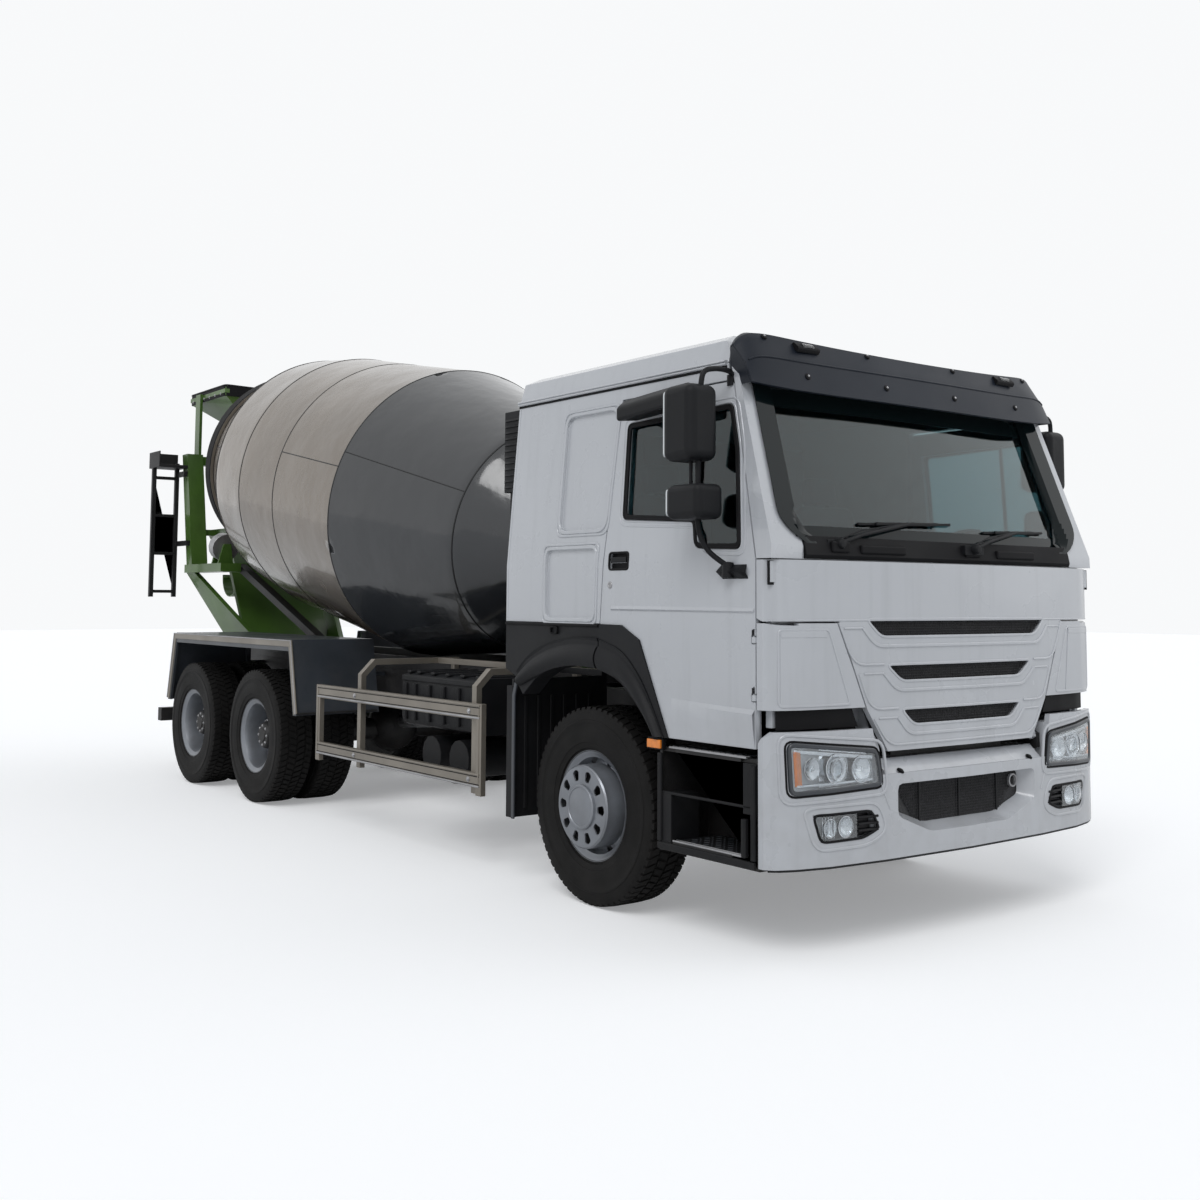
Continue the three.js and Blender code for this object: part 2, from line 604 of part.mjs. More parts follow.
function batteryBox() {
  const x = (value) => RIGHT * value;
  const body = prismY(rounded([[x(1050), 760], [x(560), 760], [x(560), 1110], [x(1050), 1110]], 60), 1330, 2320);
  const arms = [1450, 2150].map((y) => sideBox(RIGHT, FRAME_HALF_WIDTH + SEAT_GAP, 600, y, y + 80, 850, 1000));
  const airTanks = [1560, 1900].map((y) => rod([x(520), y, 600], [x(1060), y, 600], 120, 14));
  const saddles = [1560, 1900].map((y) => sideBox(RIGHT, 620, 700, y - 40, y + 40, 600, 780));
  return part('battery_box', join(body, ...arms, ...airTanks, ...saddles), finishOf('plastic'));
}

function waterTank() {
  const y = 1010;
  const z = 1560;
  const radius = 190;
  const body = rod([330, y + 60, z], [1130, y + 60, z], radius, 16);
  const bands = [450, 950].map((x) => rod([x, y + 60, z], [x + 50, y + 60, z], radius + 8, 16));
  const legs = prismX([[y, FRAME_TOP + SEAT_GAP], [y + 120, FRAME_TOP + SEAT_GAP], [y + 120, z - 120],
    [y, z - 120]], 350, FRAME_HALF_WIDTH);
  const strut = prismX([[y + 30, 1250], [y + 90, 1250], [y + 90, z - 150], [y + 30, z - 150]], 350, 1000);
  return part('water_tank', join(body, ...bands, legs, strut), finishOf('green'));
}

const FENDER_FRONT = 3697;
const FENDER_REAR = 6180;
const FENDER_TOP = 1290;

function rearFender(side, label) {
  const sheet = 14;
  const plate = prismX([
    [FENDER_FRONT - 119, 733], [FENDER_FRONT, FENDER_TOP], [FENDER_REAR, FENDER_TOP], [FENDER_REAR + 140, 690],
    [FENDER_REAR + 140 - sheet, 690], [FENDER_REAR - sheet, FENDER_TOP - sheet],
    [FENDER_FRONT + sheet, FENDER_TOP - sheet], [FENDER_FRONT - 119 + sheet, 733],
  ], side * 560, side * 1230);
  const rail = prismX([
    [FENDER_FRONT - 121, 733], [FENDER_FRONT - 2, 1281], [FENDER_REAR + 2, 1281], [FENDER_REAR + 142, 690],
    [FENDER_REAR + 84, 690], [FENDER_REAR - 42, 1205], [FENDER_FRONT + 44, 1205], [FENDER_FRONT - 61, 733],
  ], side * 1222, side * GUARD_OUTER);
  const struts = [FENDER_FRONT + 40, BOGIE_Y - 25, FENDER_REAR - 90].flatMap((y) => [
    sideBox(side, FRAME_HALF_WIDTH + SEAT_GAP, 600, y, y + 50, 1000, 1030),
    sideBox(side, 565, 600, y, y + 50, 1000, FENDER_TOP - 5),
  ]);
  return part(`rear_fender_${label}`, join(plate, rail, ...struts), finishOf('slate'));
}

// ---------------------------------------------------------------- drum and its supports

// Point of the drum's frame (sideways, distance along the axis, up from the axis) in the truck's frame.
function drumPoint(across, along, above) {
  const y = DRUM_Y + along * Math.cos(DRUM_SLOPE) - above * Math.sin(DRUM_SLOPE);
  const z = DRUM_Z + along * Math.sin(DRUM_SLOPE) + above * Math.cos(DRUM_SLOPE);
  return [across, y, z];
}

function turnedOnDrumAxis(profile, sides, across = 0, above = 0) {
  const geometry = new THREE.LatheGeometry(profile.map(([r, s]) => new THREE.Vector2(r, s)), sides);
  geometry.rotateX(DRUM_SLOPE);
  geometry.translate(...drumPoint(across, 0, above));
  return solid(geometry);
}

function drum() {
  const { radius, from, to } = DRUM_FLANGE;
  const inside = DRUM_PROFILE.map(([r, s]) => [r - DRUM_WALL, s]).reverse();
  inside[inside.length - 1][1] += DRUM_WALL;
  const headBack = inside.at(-1)[1];
  const profile = [[0, from], [radius, from], [radius, to], ...DRUM_PROFILE, ...inside, [0, headBack]];
  return part('drum', turnedOnDrumAxis(profile, DRUM_SIDES), finishOf('taupe'));
}

function ringAt(inner, outer, from, to) {
  return [[inner, from], [outer, from], [outer, to], [inner, to], [inner, from]];
}

function drumRing() {
  const from = RING_POSITION - RING_WIDTH / 2;
  const profile = ringAt(RING_SEAT_RADIUS + SEAT_GAP, RING_RADIUS, from, from + RING_WIDTH);
  return part('drum_ring', turnedOnDrumAxis(profile, DRUM_SIDES), finishOf('black'));
}

const ROLLER_REACH = RING_RADIUS + ROLLER_RADIUS + 5;
const ROLLER_ACROSS = ROLLER_REACH * Math.sin(ROLLER_ANGLE);
const ROLLER_BELOW = -ROLLER_REACH * Math.cos(ROLLER_ANGLE);

function roller(side, label) {
  const from = RING_POSITION - ROLLER_WIDTH / 2;
  const profile = ringAt(boreRadius(ROLLER_PIN), ROLLER_RADIUS, from, from + ROLLER_WIDTH);
  return part(`roller_${label}`, turnedOnDrumAxis(profile, PIN_SIDES, side * ROLLER_ACROSS, ROLLER_BELOW),
    finishOf('steel'));
}

function rollerBracket(side) {
  const across = side * ROLLER_ACROSS;
  const reach = ROLLER_WIDTH / 2 + MOVE_GAP;
  const pin = pinRod(drumPoint(across, RING_POSITION - reach - 10, ROLLER_BELOW),
    drumPoint(across, RING_POSITION + reach + 10, ROLLER_BELOW), ROLLER_PIN);
  const cheeks = [-1, 1].map((end) => {
    const [, y, z] = drumPoint(across, RING_POSITION + end * (reach + 15), ROLLER_BELOW);
    const shape = [[across - 75, PLATFORM_TOP - 10], [across + 75, PLATFORM_TOP - 10], [across + 35, z + 40],
      [across - 35, z + 40]];
    const geometry = extrusion(outline(shape), 24);
    geometry.translate(0, 0, -12);
    geometry.applyMatrix4(new THREE.Matrix4().set(1, 0, 0, 0, 0, 0, 1, y, 0, 1, 0, 0, 0, 0, 0, 1));
    geometry.applyMatrix4(new THREE.Matrix4().set(
      1, 0, 0, 0, 0, 1, -Math.tan(DRUM_SLOPE), z * Math.tan(DRUM_SLOPE), 0, 0, 1, 0, 0, 0, 0, 1));
    return solid(geometry);
  });
  return join(pin, ...cheeks);
}

const PLATFORM_FRONT = 6440;     // under the rollers
const PLATFORM_MIDDLE = 6530;    // under the drum

function rearPedestal() {
  const low = SUBFRAME_TOP + SEAT_GAP;
  const platformBottom = PLATFORM_TOP - PLATFORM_THICKNESS;
  const platform = [
    box(-600, 600, PLATFORM_MIDDLE, PLATFORM_MIDDLE + 210, platformBottom, PLATFORM_TOP),
    ...SIDES.map(({ side }) => sideBox(side, POST_HALF_SPAN - 20, POST_HALF_SPAN + POST_WIDTH + 20,
      PLATFORM_FRONT, POST_BASE_Y + POST_DEPTH, platformBottom, PLATFORM_TOP)),
  ];
  const legs = SIDES.map(({ side }) => {
    const lean = (POST_HALF_SPAN + POST_WIDTH - FRAME_HALF_WIDTH) / (platformBottom - low);
    const foot = [[6180, low], [6950, low], [POST_BASE_Y + POST_DEPTH, platformBottom + 10],
      [POST_BASE_Y - 60, platformBottom + 10]];
    const geometry = extrusion(outline(foot), 50);
    geometry.applyMatrix4(new THREE.Matrix4().set(
      0, 0, 1, side > 0 ? FRAME_HALF_WIDTH - 50 : -FRAME_HALF_WIDTH, 1, 0, 0, 0, 0, 1, 0, 0, 0, 0, 0, 1));
    geometry.applyMatrix4(new THREE.Matrix4().set(
      1, 0, side * lean, -side * lean * low, 0, 1, 0, 0, 0, 0, 1, 0, 0, 0, 0, 1));
    return solid(geometry);
  });
  const web = prismX([[6500, low], [6560, low], [7010, platformBottom + 5], [6950, platformBottom + 5]],
    -FRAME_HALF_WIDTH, FRAME_HALF_WIDTH);
  const posts = SIDES.map(({ side }) => {
    const inner = side * POST_HALF_SPAN;
    const outer = side * (POST_HALF_SPAN + POST_WIDTH);
    const plan = [[inner, POST_BASE_Y], [outer, POST_BASE_Y], [outer, POST_BASE_Y + POST_DEPTH],
      [inner, POST_BASE_Y + POST_DEPTH]];
    return prismZ(plan, PLATFORM_TOP - 5, POST_TOP, POST_LEAN);
  });
  const topY = POST_BASE_Y + POST_LEAN * (POST_TOP - PLATFORM_TOP);
  const topBeam = box(-POST_HALF_SPAN - 20, POST_HALF_SPAN + 20, topY, topY + 100, POST_TOP - 110, POST_TOP - 20);
  const ears = SIDES.map(({ side }) => sideBox(side, HOPPER_HALF_WIDTH + 12, HOPPER_HALF_WIDTH + 40,
    topY + 20, topY + 140, POST_TOP - 10, HOPPER_TOP - 10));
  return part('rear_pedestal', join(...platform, ...legs, web, ...posts, topBeam, ...ears,
    rollerBracket(RIGHT), rollerBracket(LEFT)), finishOf('green'));
}

function drivePedestal() {
  const low = SUBFRAME_TOP + SEAT_GAP;
  const outputFace = DRUM_FLANGE.from - 2 * SEAT_GAP;
  const gearbox = turnedOnDrumAxis([[0, -740], [150, -740], [150, -560], [235, -540], [235, -380],
    [190, outputFace], [0, outputFace]], 20);
  const plates = [1330, 1500].map((y) => prismY([[-FRAME_HALF_WIDTH, low], [FRAME_HALF_WIDTH, low],
    [260, 1700], [-260, 1700]], y, y + 25));
  const bed = box(-260, 260, 1330, 1525, 1660, 1740);
  const base = cut(box(-FRAME_HALF_WIDTH, FRAME_HALF_WIDTH, 1300, 1560, low, low + 20),
    box(-200, 200, 1370, 1490, low - 5, low + 25));
  const sideWalls = SIDES.map(({ side }) => prismY([[side * FRAME_HALF_WIDTH, low], [side * 260, 1700],
    [side * 235, 1700], [side * (FRAME_HALF_WIDTH - 25), low]], 1340, 1515));
  return part('drive_pedestal', join(gearbox, ...plates, bed, base, ...sideWalls), finishOf('green'));
}

function subframe() {
  const low = FRAME_TOP + SEAT_GAP;
  const rails = SIDES.map(({ side }) => sideBox(
    side, FRAME_HALF_WIDTH - RAIL_FLANGE, FRAME_HALF_WIDTH, SUBFRAME_FRONT, FRAME_REAR, low, SUBFRAME_TOP));
  const ties = [1280, 5600, 6500, FRAME_REAR - 80].map((y) => box(
    -FRAME_HALF_WIDTH + 10, FRAME_HALF_WIDTH - 10, y, y + 80, low, SUBFRAME_TOP - 20));
  const braceTop = PLATFORM_TOP - 5;
  const braces = SIDES.flatMap(({ side }) => [
    prismX([[4420, SUBFRAME_TOP - 10], [4600, SUBFRAME_TOP - 10], [PLATFORM_MIDDLE - SEAT_GAP, braceTop - 70],
      [PLATFORM_MIDDLE - SEAT_GAP, braceTop]], side * 450, side * 530),
    sideBox(side, FRAME_HALF_WIDTH - 10, 530, 4400, 4640, low, SUBFRAME_TOP),
  ]);
  const tail = box(-80, 80, FRAME_REAR - 90, CHUTE_PIVOT.y + 70, low, SUBFRAME_TOP);
  const post = pinRod([0, CHUTE_PIVOT.y, SUBFRAME_TOP - 10], [0, CHUTE_PIVOT.y, SUBFRAME_TOP + 120], CHUTE_POST_RADIUS);
  return part('subframe', join(...rails, ...ties, ...braces, tail, post), finishOf('black'));
}

function hopper() {
  const rim = HOPPER_HALF_WIDTH + 12 - SEAT_GAP;
  const shell = (inset) => join(
    frustum({ x: 260 - inset, y: [6965 + inset, 7330 - inset], z: 3300 },
      { x: HOPPER_HALF_WIDTH - inset, y: [6900 + inset, HOPPER_REAR - inset], z: HOPPER_TOP - 80 }),
    box(-HOPPER_HALF_WIDTH + inset, HOPPER_HALF_WIDTH - inset, 6900 + inset, HOPPER_REAR - inset,
      HOPPER_TOP - 80 - 1, HOPPER_TOP),
    frustum({ x: 240 - inset, y: [6740 + inset, 7010 - inset], z: 3080 },
      { x: 260 - inset, y: [6965 + inset, 7330 - inset], z: 3301 }));
  const ends = [
    frustum({ x: 240 - SHEET, y: [6740 + SHEET - 2, 7010 - SHEET - 2], z: 3079 },
      { x: 240 - SHEET, y: [6740 + SHEET, 7010 - SHEET], z: 3081 }),
    box(-HOPPER_HALF_WIDTH + SHEET, HOPPER_HALF_WIDTH - SHEET, 6900 + SHEET, HOPPER_REAR - SHEET,
      HOPPER_TOP - 20, HOPPER_TOP + 5),
  ];
  const band = box(-rim, rim, 6890, HOPPER_REAR, HOPPER_TOP - 60, HOPPER_TOP - 20);
  return part('hopper', cut(join(shell(0), band), shell(SHEET), ...ends), finishOf('green'));
}

function dischargeFunnel() {
  const shell = (inset, extra) => frustum(
    { x: 170 - inset, y: [7490 + inset - extra, 7790 - inset - extra], z: 1900 - extra },
    { x: 470 - inset, y: [6995 + inset + extra, 7560 - inset + extra], z: 2290 + extra });
  const lugs = SIDES.map(({ side }) => sideBox(
    side, 400, POST_HALF_SPAN - SEAT_GAP, 7340, 7410, 2225, 2285));
  return part('discharge_funnel', cut(join(shell(0, 0), ...lugs), shell(SHEET, 1)), finishOf('green'));
}

const LADDER_Y = 7620;
const LADDER_RUNGS = 4;
const RUNG_PITCH = 380;

function ladder() {
  const inner = 740;
  const outer = 1010;
  const low = 1650;
  const rails = [inner, outer - 40].map((u) => sideBox(RIGHT, u, u + 40, LADDER_Y, LADDER_Y + 40, low - 40, 2960));
  const rungs = Array.from({ length: LADDER_RUNGS }, (_, i) => sideBox(
    RIGHT, inner, outer, LADDER_Y, LADDER_Y + 40, low + i * RUNG_PITCH, low + i * RUNG_PITCH + 30));
  const post = POST_HALF_SPAN + POST_WIDTH + SEAT_GAP;
  const arms = [[7320, 2120], [7440, 2820]].map(([y, z]) => sideBox(
    RIGHT, post, inner + 20, y, LADDER_Y + 20, z, z + 50));
  const platform = sideBox(RIGHT, post, outer, 7440, LADDER_Y + 120, 2900, 2930);
  const toeBoards = [
    sideBox(RIGHT, outer - 12, outer, 7440, LADDER_Y + 120, 2900, 3060),
    sideBox(RIGHT, post, outer, LADDER_Y + 108, LADDER_Y + 120, 2900, 3060),
  ];
  return part('ladder', join(...rails, ...rungs, ...arms, platform, ...toeBoards), finishOf('black'));
}

// ---------------------------------------------------------------- discharge chute

function chuteSwivel() {
  const { y, z } = CHUTE_PIVOT;
  const base = SUBFRAME_TOP + MOVE_GAP;
  const sleeve = rod([0, y, base], [0, y, 1400], 60);
  const bore = pinRod([0, y, base - 5], [0, y, SUBFRAME_TOP + 126], boreRadius(CHUTE_POST_RADIUS));
  const fork = [-1, 1].map((end) => {
    const inner = y + end * (20 + MOVE_GAP);
    const outer = inner + end * 18;
    return box(-45, 45, Math.min(inner, outer), Math.max(inner, outer), 1390, z + 40);
  });
  const seat = box(-50, 50, y - 60, y + 60, 1380, 1410);
  const pin = pinRod([0, y - 50, z], [0, y + 50, z], CHUTE_PIN_RADIUS);
  return part('chute_swivel', join(cut(sleeve, bore), seat, ...fork, pin), finishOf('green'));
}

function chute() {
  const { y, z } = CHUTE_PIVOT;
  const troughBottom = z + 55;
  const section = new THREE.Shape();
  const centre = troughBottom + CHUTE_RADIUS;
  section.absarc(y, centre, CHUTE_RADIUS, Math.PI, 2 * Math.PI, false);
  section.lineTo(y + CHUTE_RADIUS, centre + 30);
  section.lineTo(y + CHUTE_RADIUS - SHEET, centre + 30);
  section.absarc(y, centre, CHUTE_RADIUS - SHEET, 2 * Math.PI, Math.PI, true);
  section.lineTo(y - CHUTE_RADIUS + SHEET, centre + 30);
  section.lineTo(y - CHUTE_RADIUS, centre + 30);
  section.closePath();
  const geometry = extrusion(section, CHUTE_LENGTH + CHUTE_BACK, 8);
  geometry.applyMatrix4(new THREE.Matrix4().set(0, 0, 1, -CHUTE_BACK, 1, 0, 0, 0, 0, 1, 0, 0, 0, 0, 0, 1));
  const lug = join(
    rod([0, y - 20, z], [0, y + 20, z], 34),
    box(-34, 34, y - 20, y + 20, z, troughBottom + SHEET - 2));
  const bore = pinRod([0, y - 30, z], [0, y + 30, z], boreRadius(CHUTE_PIN_RADIUS));
  return part('chute', join(solid(geometry), cut(lug, bore)), finishOf('green'));
}

// ---------------------------------------------------------------- wheels

const TYRE_RADIUS = AXLE_HEIGHT / Math.cos(Math.PI / WHEEL_SIDES);
const HALF_TYRE = TYRE_WIDTH / 2;

// Outer face of a tyre about a middle plane, from its inner to its outer bead.
function tyreArc(middle) {
  const side = [[RIM_RADIUS + 45, 0.77], [440, 1], [TYRE_RADIUS, 0.75]];
  const inner = side.map(([r, share]) => [r, middle - share * HALF_TYRE]);
  const outer = side.map(([r, share]) => [r, middle + share * HALF_TYRE]).reverse();
  return [...inner, ...outer];
}

function turnedWheel(profile, side) {
  const geometry = new THREE.LatheGeometry(profile.map(([r, a]) => new THREE.Vector2(r, a)), WHEEL_SIDES);
  geometry.rotateY(Math.PI / WHEEL_SIDES);
  geometry.rotateZ(-side * Math.PI / 2);
  return solid(geometry);
}

function frontWheel(side, label) {
  const bore = boreRadius(SPINDLE_RADIUS, WHEEL_SIDES);
  const profile = [[0, 120], [bore, 120], [bore, -28], [110, -28], [110, 100], [170, 118], [215, 60],
    [RIM_RADIUS - 6, 35], [RIM_RADIUS - 6, -110], ...tyreArc(0), [RIM_RADIUS, 110], [RIM_RADIUS, 62],
    [222, 76], [182, 136], [95, 146], [90, 180], [0, 180]];
  return part(`front_wheel_${label}`, turnedWheel(profile, side), finishOf('rubber'),
    [side * FRONT_WHEEL_OFFSET, 0, AXLE_HEIGHT]);
}

function rearWheels(side, label, axle, y) {
  const bore = boreRadius(REAR_SPINDLE_RADIUS, WHEEL_SIDES);
  const half = DUAL_SPACING / 2;
  const rim = RIM_RADIUS;
  const profile = [[0, 40], [bore, 40], [bore, -190], [110, -190], [110, -30], [170, -25], [rim - 8, -half + 30],
    [rim - 6, -half - 110], ...tyreArc(-half), [rim + 20, 62 - half], [rim + 20, half - 62], ...tyreArc(half),
    [rim, half + 110], [rim, half - 30], [170, 35], [110, 38], [105, 150], [0, 150]];
  return part(`rear_wheels_${axle}_${label}`, turnedWheel(profile, side), finishOf('rubber'),
    [side * DUAL_OFFSET, y, AXLE_HEIGHT]);
}

// ---------------------------------------------------------------- cab

// Half width of the cab's outer skin at a height.
const SIDE_PROFILE = [[BODY_HALF_WIDTH, 900], [BODY_HALF_WIDTH, WAIST], [1211, 2175], [1162, RAIL_HEIGHT]];

// Layer of the cab's side wall between two depths under its skin.
function wallLayer(side, depth0, depth1, y0 = -1500, y1 = CAB_REAR) {
  const outer = SIDE_PROFILE.map(([x, z]) => [side * (x - depth0), z]);
  const inner = SIDE_PROFILE.map(([x, z]) => [side * (x - depth1), z]).reverse();
  return prismY([...outer, ...inner], y0, y1);
}

function doorOutline(inset) {
  return [
    [DOOR_REAR - inset, 1252 + inset], [DOOR_REAR - inset, PANEL_BOTTOM], [-236 - inset, 2640 - inset],
    [-1081 + inset, 2640 - inset], [DOOR_FRONT + inset, WAIST], [DOOR_FRONT + inset, DOOR_BOTTOM + inset],
    [-640 - inset, DOOR_BOTTOM + inset], [-560 - inset, 1090 + inset], [-400 - inset, 1205 + inset],
    [-200 - inset, 1250 + inset],
  ];
}

const WINDOW = [[-309, 2501], [-320, 2025], [-866, 1989], [-888, 1860], [-1190, 1850], [-1142, 2299],
  [-1081, 2520]];

// Door hinges: a bracket on the cab carries the pin, and a boss on the door turns on it.
const DOOR_HINGE = { x: BODY_HALF_WIDTH - 3, y: DOOR_FRONT + 10, pin: 6, radius: 12, height: 26 };
const DOOR_HINGE_HEIGHTS = [1150, 1410];

function hingeRod(side, z0, z1, radius, sides) {
  const { x, y } = DOOR_HINGE;
  return rod([side * x, y, z0], [side * x, y, z1], radius, sides);
}

function hingeBracket(side, z) {
  const { x, y, pin, radius, height } = DOOR_HINGE;
  const arm = sideBox(side, x - radius - 4, x - 2, DOOR_FRONT - DOOR_GAP - 8, y - MOVE_GAP, z, z + height);
  return join(arm, hingeRod(side, z, z + height, radius), hingeRod(side, z + 4, z + 2 * height, pin, PIN_SIDES));
}

function hingeNotch(side, z) {
  const { x, y, radius, height } = DOOR_HINGE;
  const front = sideBox(side, x - radius - 6 - MOVE_GAP, x + 20, DOOR_FRONT - 5, y, z - MOVE_GAP, z + height + MOVE_GAP);
  return join(front, hingeRod(side, z - MOVE_GAP, z + height + MOVE_GAP, radius + MOVE_GAP));
}

function hingeBoss(side, z) {
  const { radius, height } = DOOR_HINGE;
  return hingeRod(side, z + height + MOVE_GAP, z + 2 * height + MOVE_GAP, radius);
}

function hingeBore(side, z) {
  const { pin, height } = DOOR_HINGE;
  return hingeRod(side, z + height, z + 2 * height + 10, boreRadius(pin), PIN_SIDES);
}

function door(side, label) {
  const outerLayer = common(prismX(doorOutline(0), side * 900, side * 1300), wallLayer(side, 0, 26));
  const innerLayer = common(prismX(doorOutline(14), side * 900, side * 1300), wallLayer(side, 25, WALL - 10));
  const window = prismX(WINDOW, side * 900, side * 1300);
  const rearSill = prismX([[-690, 930], [-697, 934], [-471, 1401], [-324, 1473], [-139, 1475], [-139, 1252],
    [-200, 1250], [-400, 1205], [-560, 1090], [-640, 935]], side * 1220, side * (BODY_HALF_WIDTH + 10));
  const flare = common(rearSill, prismX(doorOutline(0), side * 1200, side * 1300));
  const pull = prismX(rounded([[-372, 1757], [-212, 1757], [-212, 1843], [-372, 1843]], 15),
    side * 1216, side * 1300);
  const handle = sideBox(side, 1214, 1240, -352, -232, 1790, 1812);
  const notches = DOOR_HINGE_HEIGHTS.map((z) => hingeNotch(side, z));
  const bosses = DOOR_HINGE_HEIGHTS.map((z) => hingeBoss(side, z));
  const bores = DOOR_HINGE_HEIGHTS.map((z) => hingeBore(side, z));
  const leaf = cut(join(outerLayer, innerLayer, flare), window, pull, ...notches);
  return part(`door_${label}`, join(cut(join(leaf, ...bosses), ...bores), handle), finishOf('white'));
}

function doorGlass(side, label) {
  const pane = prismX(shrunk(WINDOW, GLASS_GAP), side * 900, side * 1300);
  return part(`door_glass_${label}`, common(pane, wallLayer(side, 18, 24)), finishOf('glass'));
}

function mirrors(side, label) {
  const u = 1400;
  const main = prismZ(rounded([[side * (u - 75), -1123], [side * (u + 75), -1100], [side * (u + 75), -860],
    [side * (u - 75), -828]], 30), 2246, 2604);
  const lower = prismZ(rounded([[side * (u - 65), -1184], [side * (u + 65), -1150], [side * (u + 65), -890],
    [side * (u - 65), -852]], 30), 1973, 2136);
  const kerb = sideBox(side, 1180, 1330, -828, -400, 2555, 2620);
  const tubes = [
    [[1150, -1055, 2590], [u, -1115, 2585]], [[u, -1115, 2585], [u, -1125, 1750]],
    [[u, -1125, 1750], [1200, -1180, 1745]], [[1300, -800, 2590], [u, -1000, 2590]],
    [[1140, -560, 2590], [1290, -560, 2590]],
  ].map(([from, to]) => rod([side * from[0], from[1], from[2]], [side * to[0], to[1], to[2]], 14, 6));
  const foot = prismX([[-1275, 1712], [-1088, 1720], [-1100, 1782], [-1262, 1782]], side * 1230, side * 1270);
  const door = wallLayer(side, -SEAT_GAP, 300);
  return part(`mirrors_${label}`, cut(join(main, lower, kerb, foot, ...tubes), door), finishOf('black'));
}

// Rear quarter panel with the rail over the door.
function cabSide(side, label) {
  const low = PANEL_BOTTOM;
  const high = RAIL_HEIGHT - SEAT_GAP;
  const panel = prismX([[DOOR_REAR + DOOR_GAP, low], [-236 + DOOR_GAP, 2640 + DOOR_GAP],
    [-1055, 2640 + DOOR_GAP], [-1034, high], [CAB_REAR, high], [CAB_REAR, low]], side * 900, side * 1300);
  const emboss = [
    rounded([[-150, 1975], [250, 1975], [250, 2600], [-195, 2600]], 45),
    rounded([[-70, 1504], [357, 1504], [357, 1868], [-86, 1868]], 30),
  ].map((shape) => common(prismX(shape, side * 900, side * 1300), wallLayer(side, -5, 12)));
  return part(`cab_side_${label}`, cut(common(panel, wallLayer(side, 0, WALL)), ...emboss), finishOf('white'));
}

// Dark cladding behind the door, with the rear half of the wheel arch.
function archCladding(side, label) {
  const top = PANEL_BOTTOM - SEAT_GAP;
  const front = DOOR_REAR + DOOR_GAP;
  const shape = [[front, top], [CAB_REAR, top], [CAB_REAR, CLADDING_BOTTOM], [597, CLADDING_BOTTOM - 60],
    [560, 1070], [437, 1167], [300, 1225], [60, 1262], [front, 1258]];
  const flareShape = [[front, 1385], [82, 1396], [330, 1350], [540, 1260], [640, 1150], [560, 1070], [437, 1167],
    [300, 1225], [60, 1262], [front, 1258]];
  const wall = prismX(shape, side * (BODY_HALF_WIDTH - WALL), side * BODY_HALF_WIDTH);
  const flare = prismX(flareShape, side * (BODY_HALF_WIDTH - 100), side * (BODY_HALF_WIDTH + 10));
  return part(`arch_cladding_${label}`, join(wall, flare), finishOf('plastic'));
}

// Solid between the two side walls, less a gap, from y0 to y1.
function betweenWalls(y0, y1, gap = SEAT_GAP) {
  const half = SIDE_PROFILE.map(([x, z]) => [x - WALL - gap, z]);
  const mirrored = half.map(([x, z]) => [-x, z]).reverse();
  return prismY([...half, ...mirrored], y0, y1);
}

function cabRearWall() {
  const wall = betweenWalls(CAB_REAR - WALL, CAB_REAR);
  const band = box(-1300, 1300, 600, 800, FLOOR_HEIGHT - 40, RAIL_HEIGHT - SEAT_GAP);
  return part('cab_rear_wall', common(wall, band), finishOf('white'));
}

const FIREWALL_FRONT = -1350;
const FIREWALL_BACK = -1312;

function cabFloor() {
  const front = FIREWALL_BACK + SEAT_GAP;
  const rear = CAB_REAR - WALL - SEAT_GAP;
  const half = BODY_HALF_WIDTH - WALL - SEAT_GAP - 45;
  const floor = box(-half, half, front, rear, FLOOR_HEIGHT - 40, FLOOR_HEIGHT);
  const tunnel = box(-420, 420, -800, rear, FLOOR_HEIGHT - 40, 1500);
  const inside = box(-380, 380, -760, rear + 10, FLOOR_HEIGHT - 50, 1460);
  const wells = SIDES.flatMap(({ side }) => [
    sideBox(side, 760, half, front, -700, 955, 985),
    sideBox(side, 760, 790, front, -700, 955, FLOOR_HEIGHT - 10),
    sideBox(side, 760, half, -720, -700, 955, FLOOR_HEIGHT - 10),
  ]);
  const wellHoles = SIDES.map(({ side }) => sideBox(side, 790, half + 5, front - 5, -720, 985, FLOOR_HEIGHT + 5));
  return part('cab_floor', cut(join(cut(join(floor, tunnel), inside), ...wells), ...wellHoles),
    finishOf('plastic'));
}

const LID_PLAN = [[600, -1478], [900, -1455], [1090, -1428], [1190, -1395], [BODY_HALF_WIDTH, -1345]];
const LID_CROWN = -1492;
const LID_REAR = DOOR_FRONT - DOOR_GAP;

function noseBody(inset, low, high) {
  return prismZ(nosePlan(inset, LID_REAR, LID_CROWN, LID_PLAN), low, high);
}

function noseSkin(low, high) {
  return cut(noseBody(0, low, high), noseBody(SKIN, low - 1, high + 1));
}

const LID_OUTLINE = [
  [0, LID_BOTTOM], [560, LID_BOTTOM], [690, 1095], [863, LID_SEAM - 8], [1300, LID_SEAM - 8], [1300, LID_TOP],
  [0, LID_TOP],
];

function lidBody(margin) {
  const halves = SIDES.map(({ side }) => prismY(LID_OUTLINE.map(([x, z]) => [
    side * (x > 0 ? x + margin : -1), z === LID_TOP ? z : z - margin]), -1600, LID_REAR + 60));
  return join(...halves);
}

const LID_PIVOT = { y: -1425, z: 1765 };
const LID_HINGE_OFFSET = 300;
const LID_HINGE_WIDTH = 24;
const LID_PIN_RADIUS = 8;
const LID_REACH = 270;

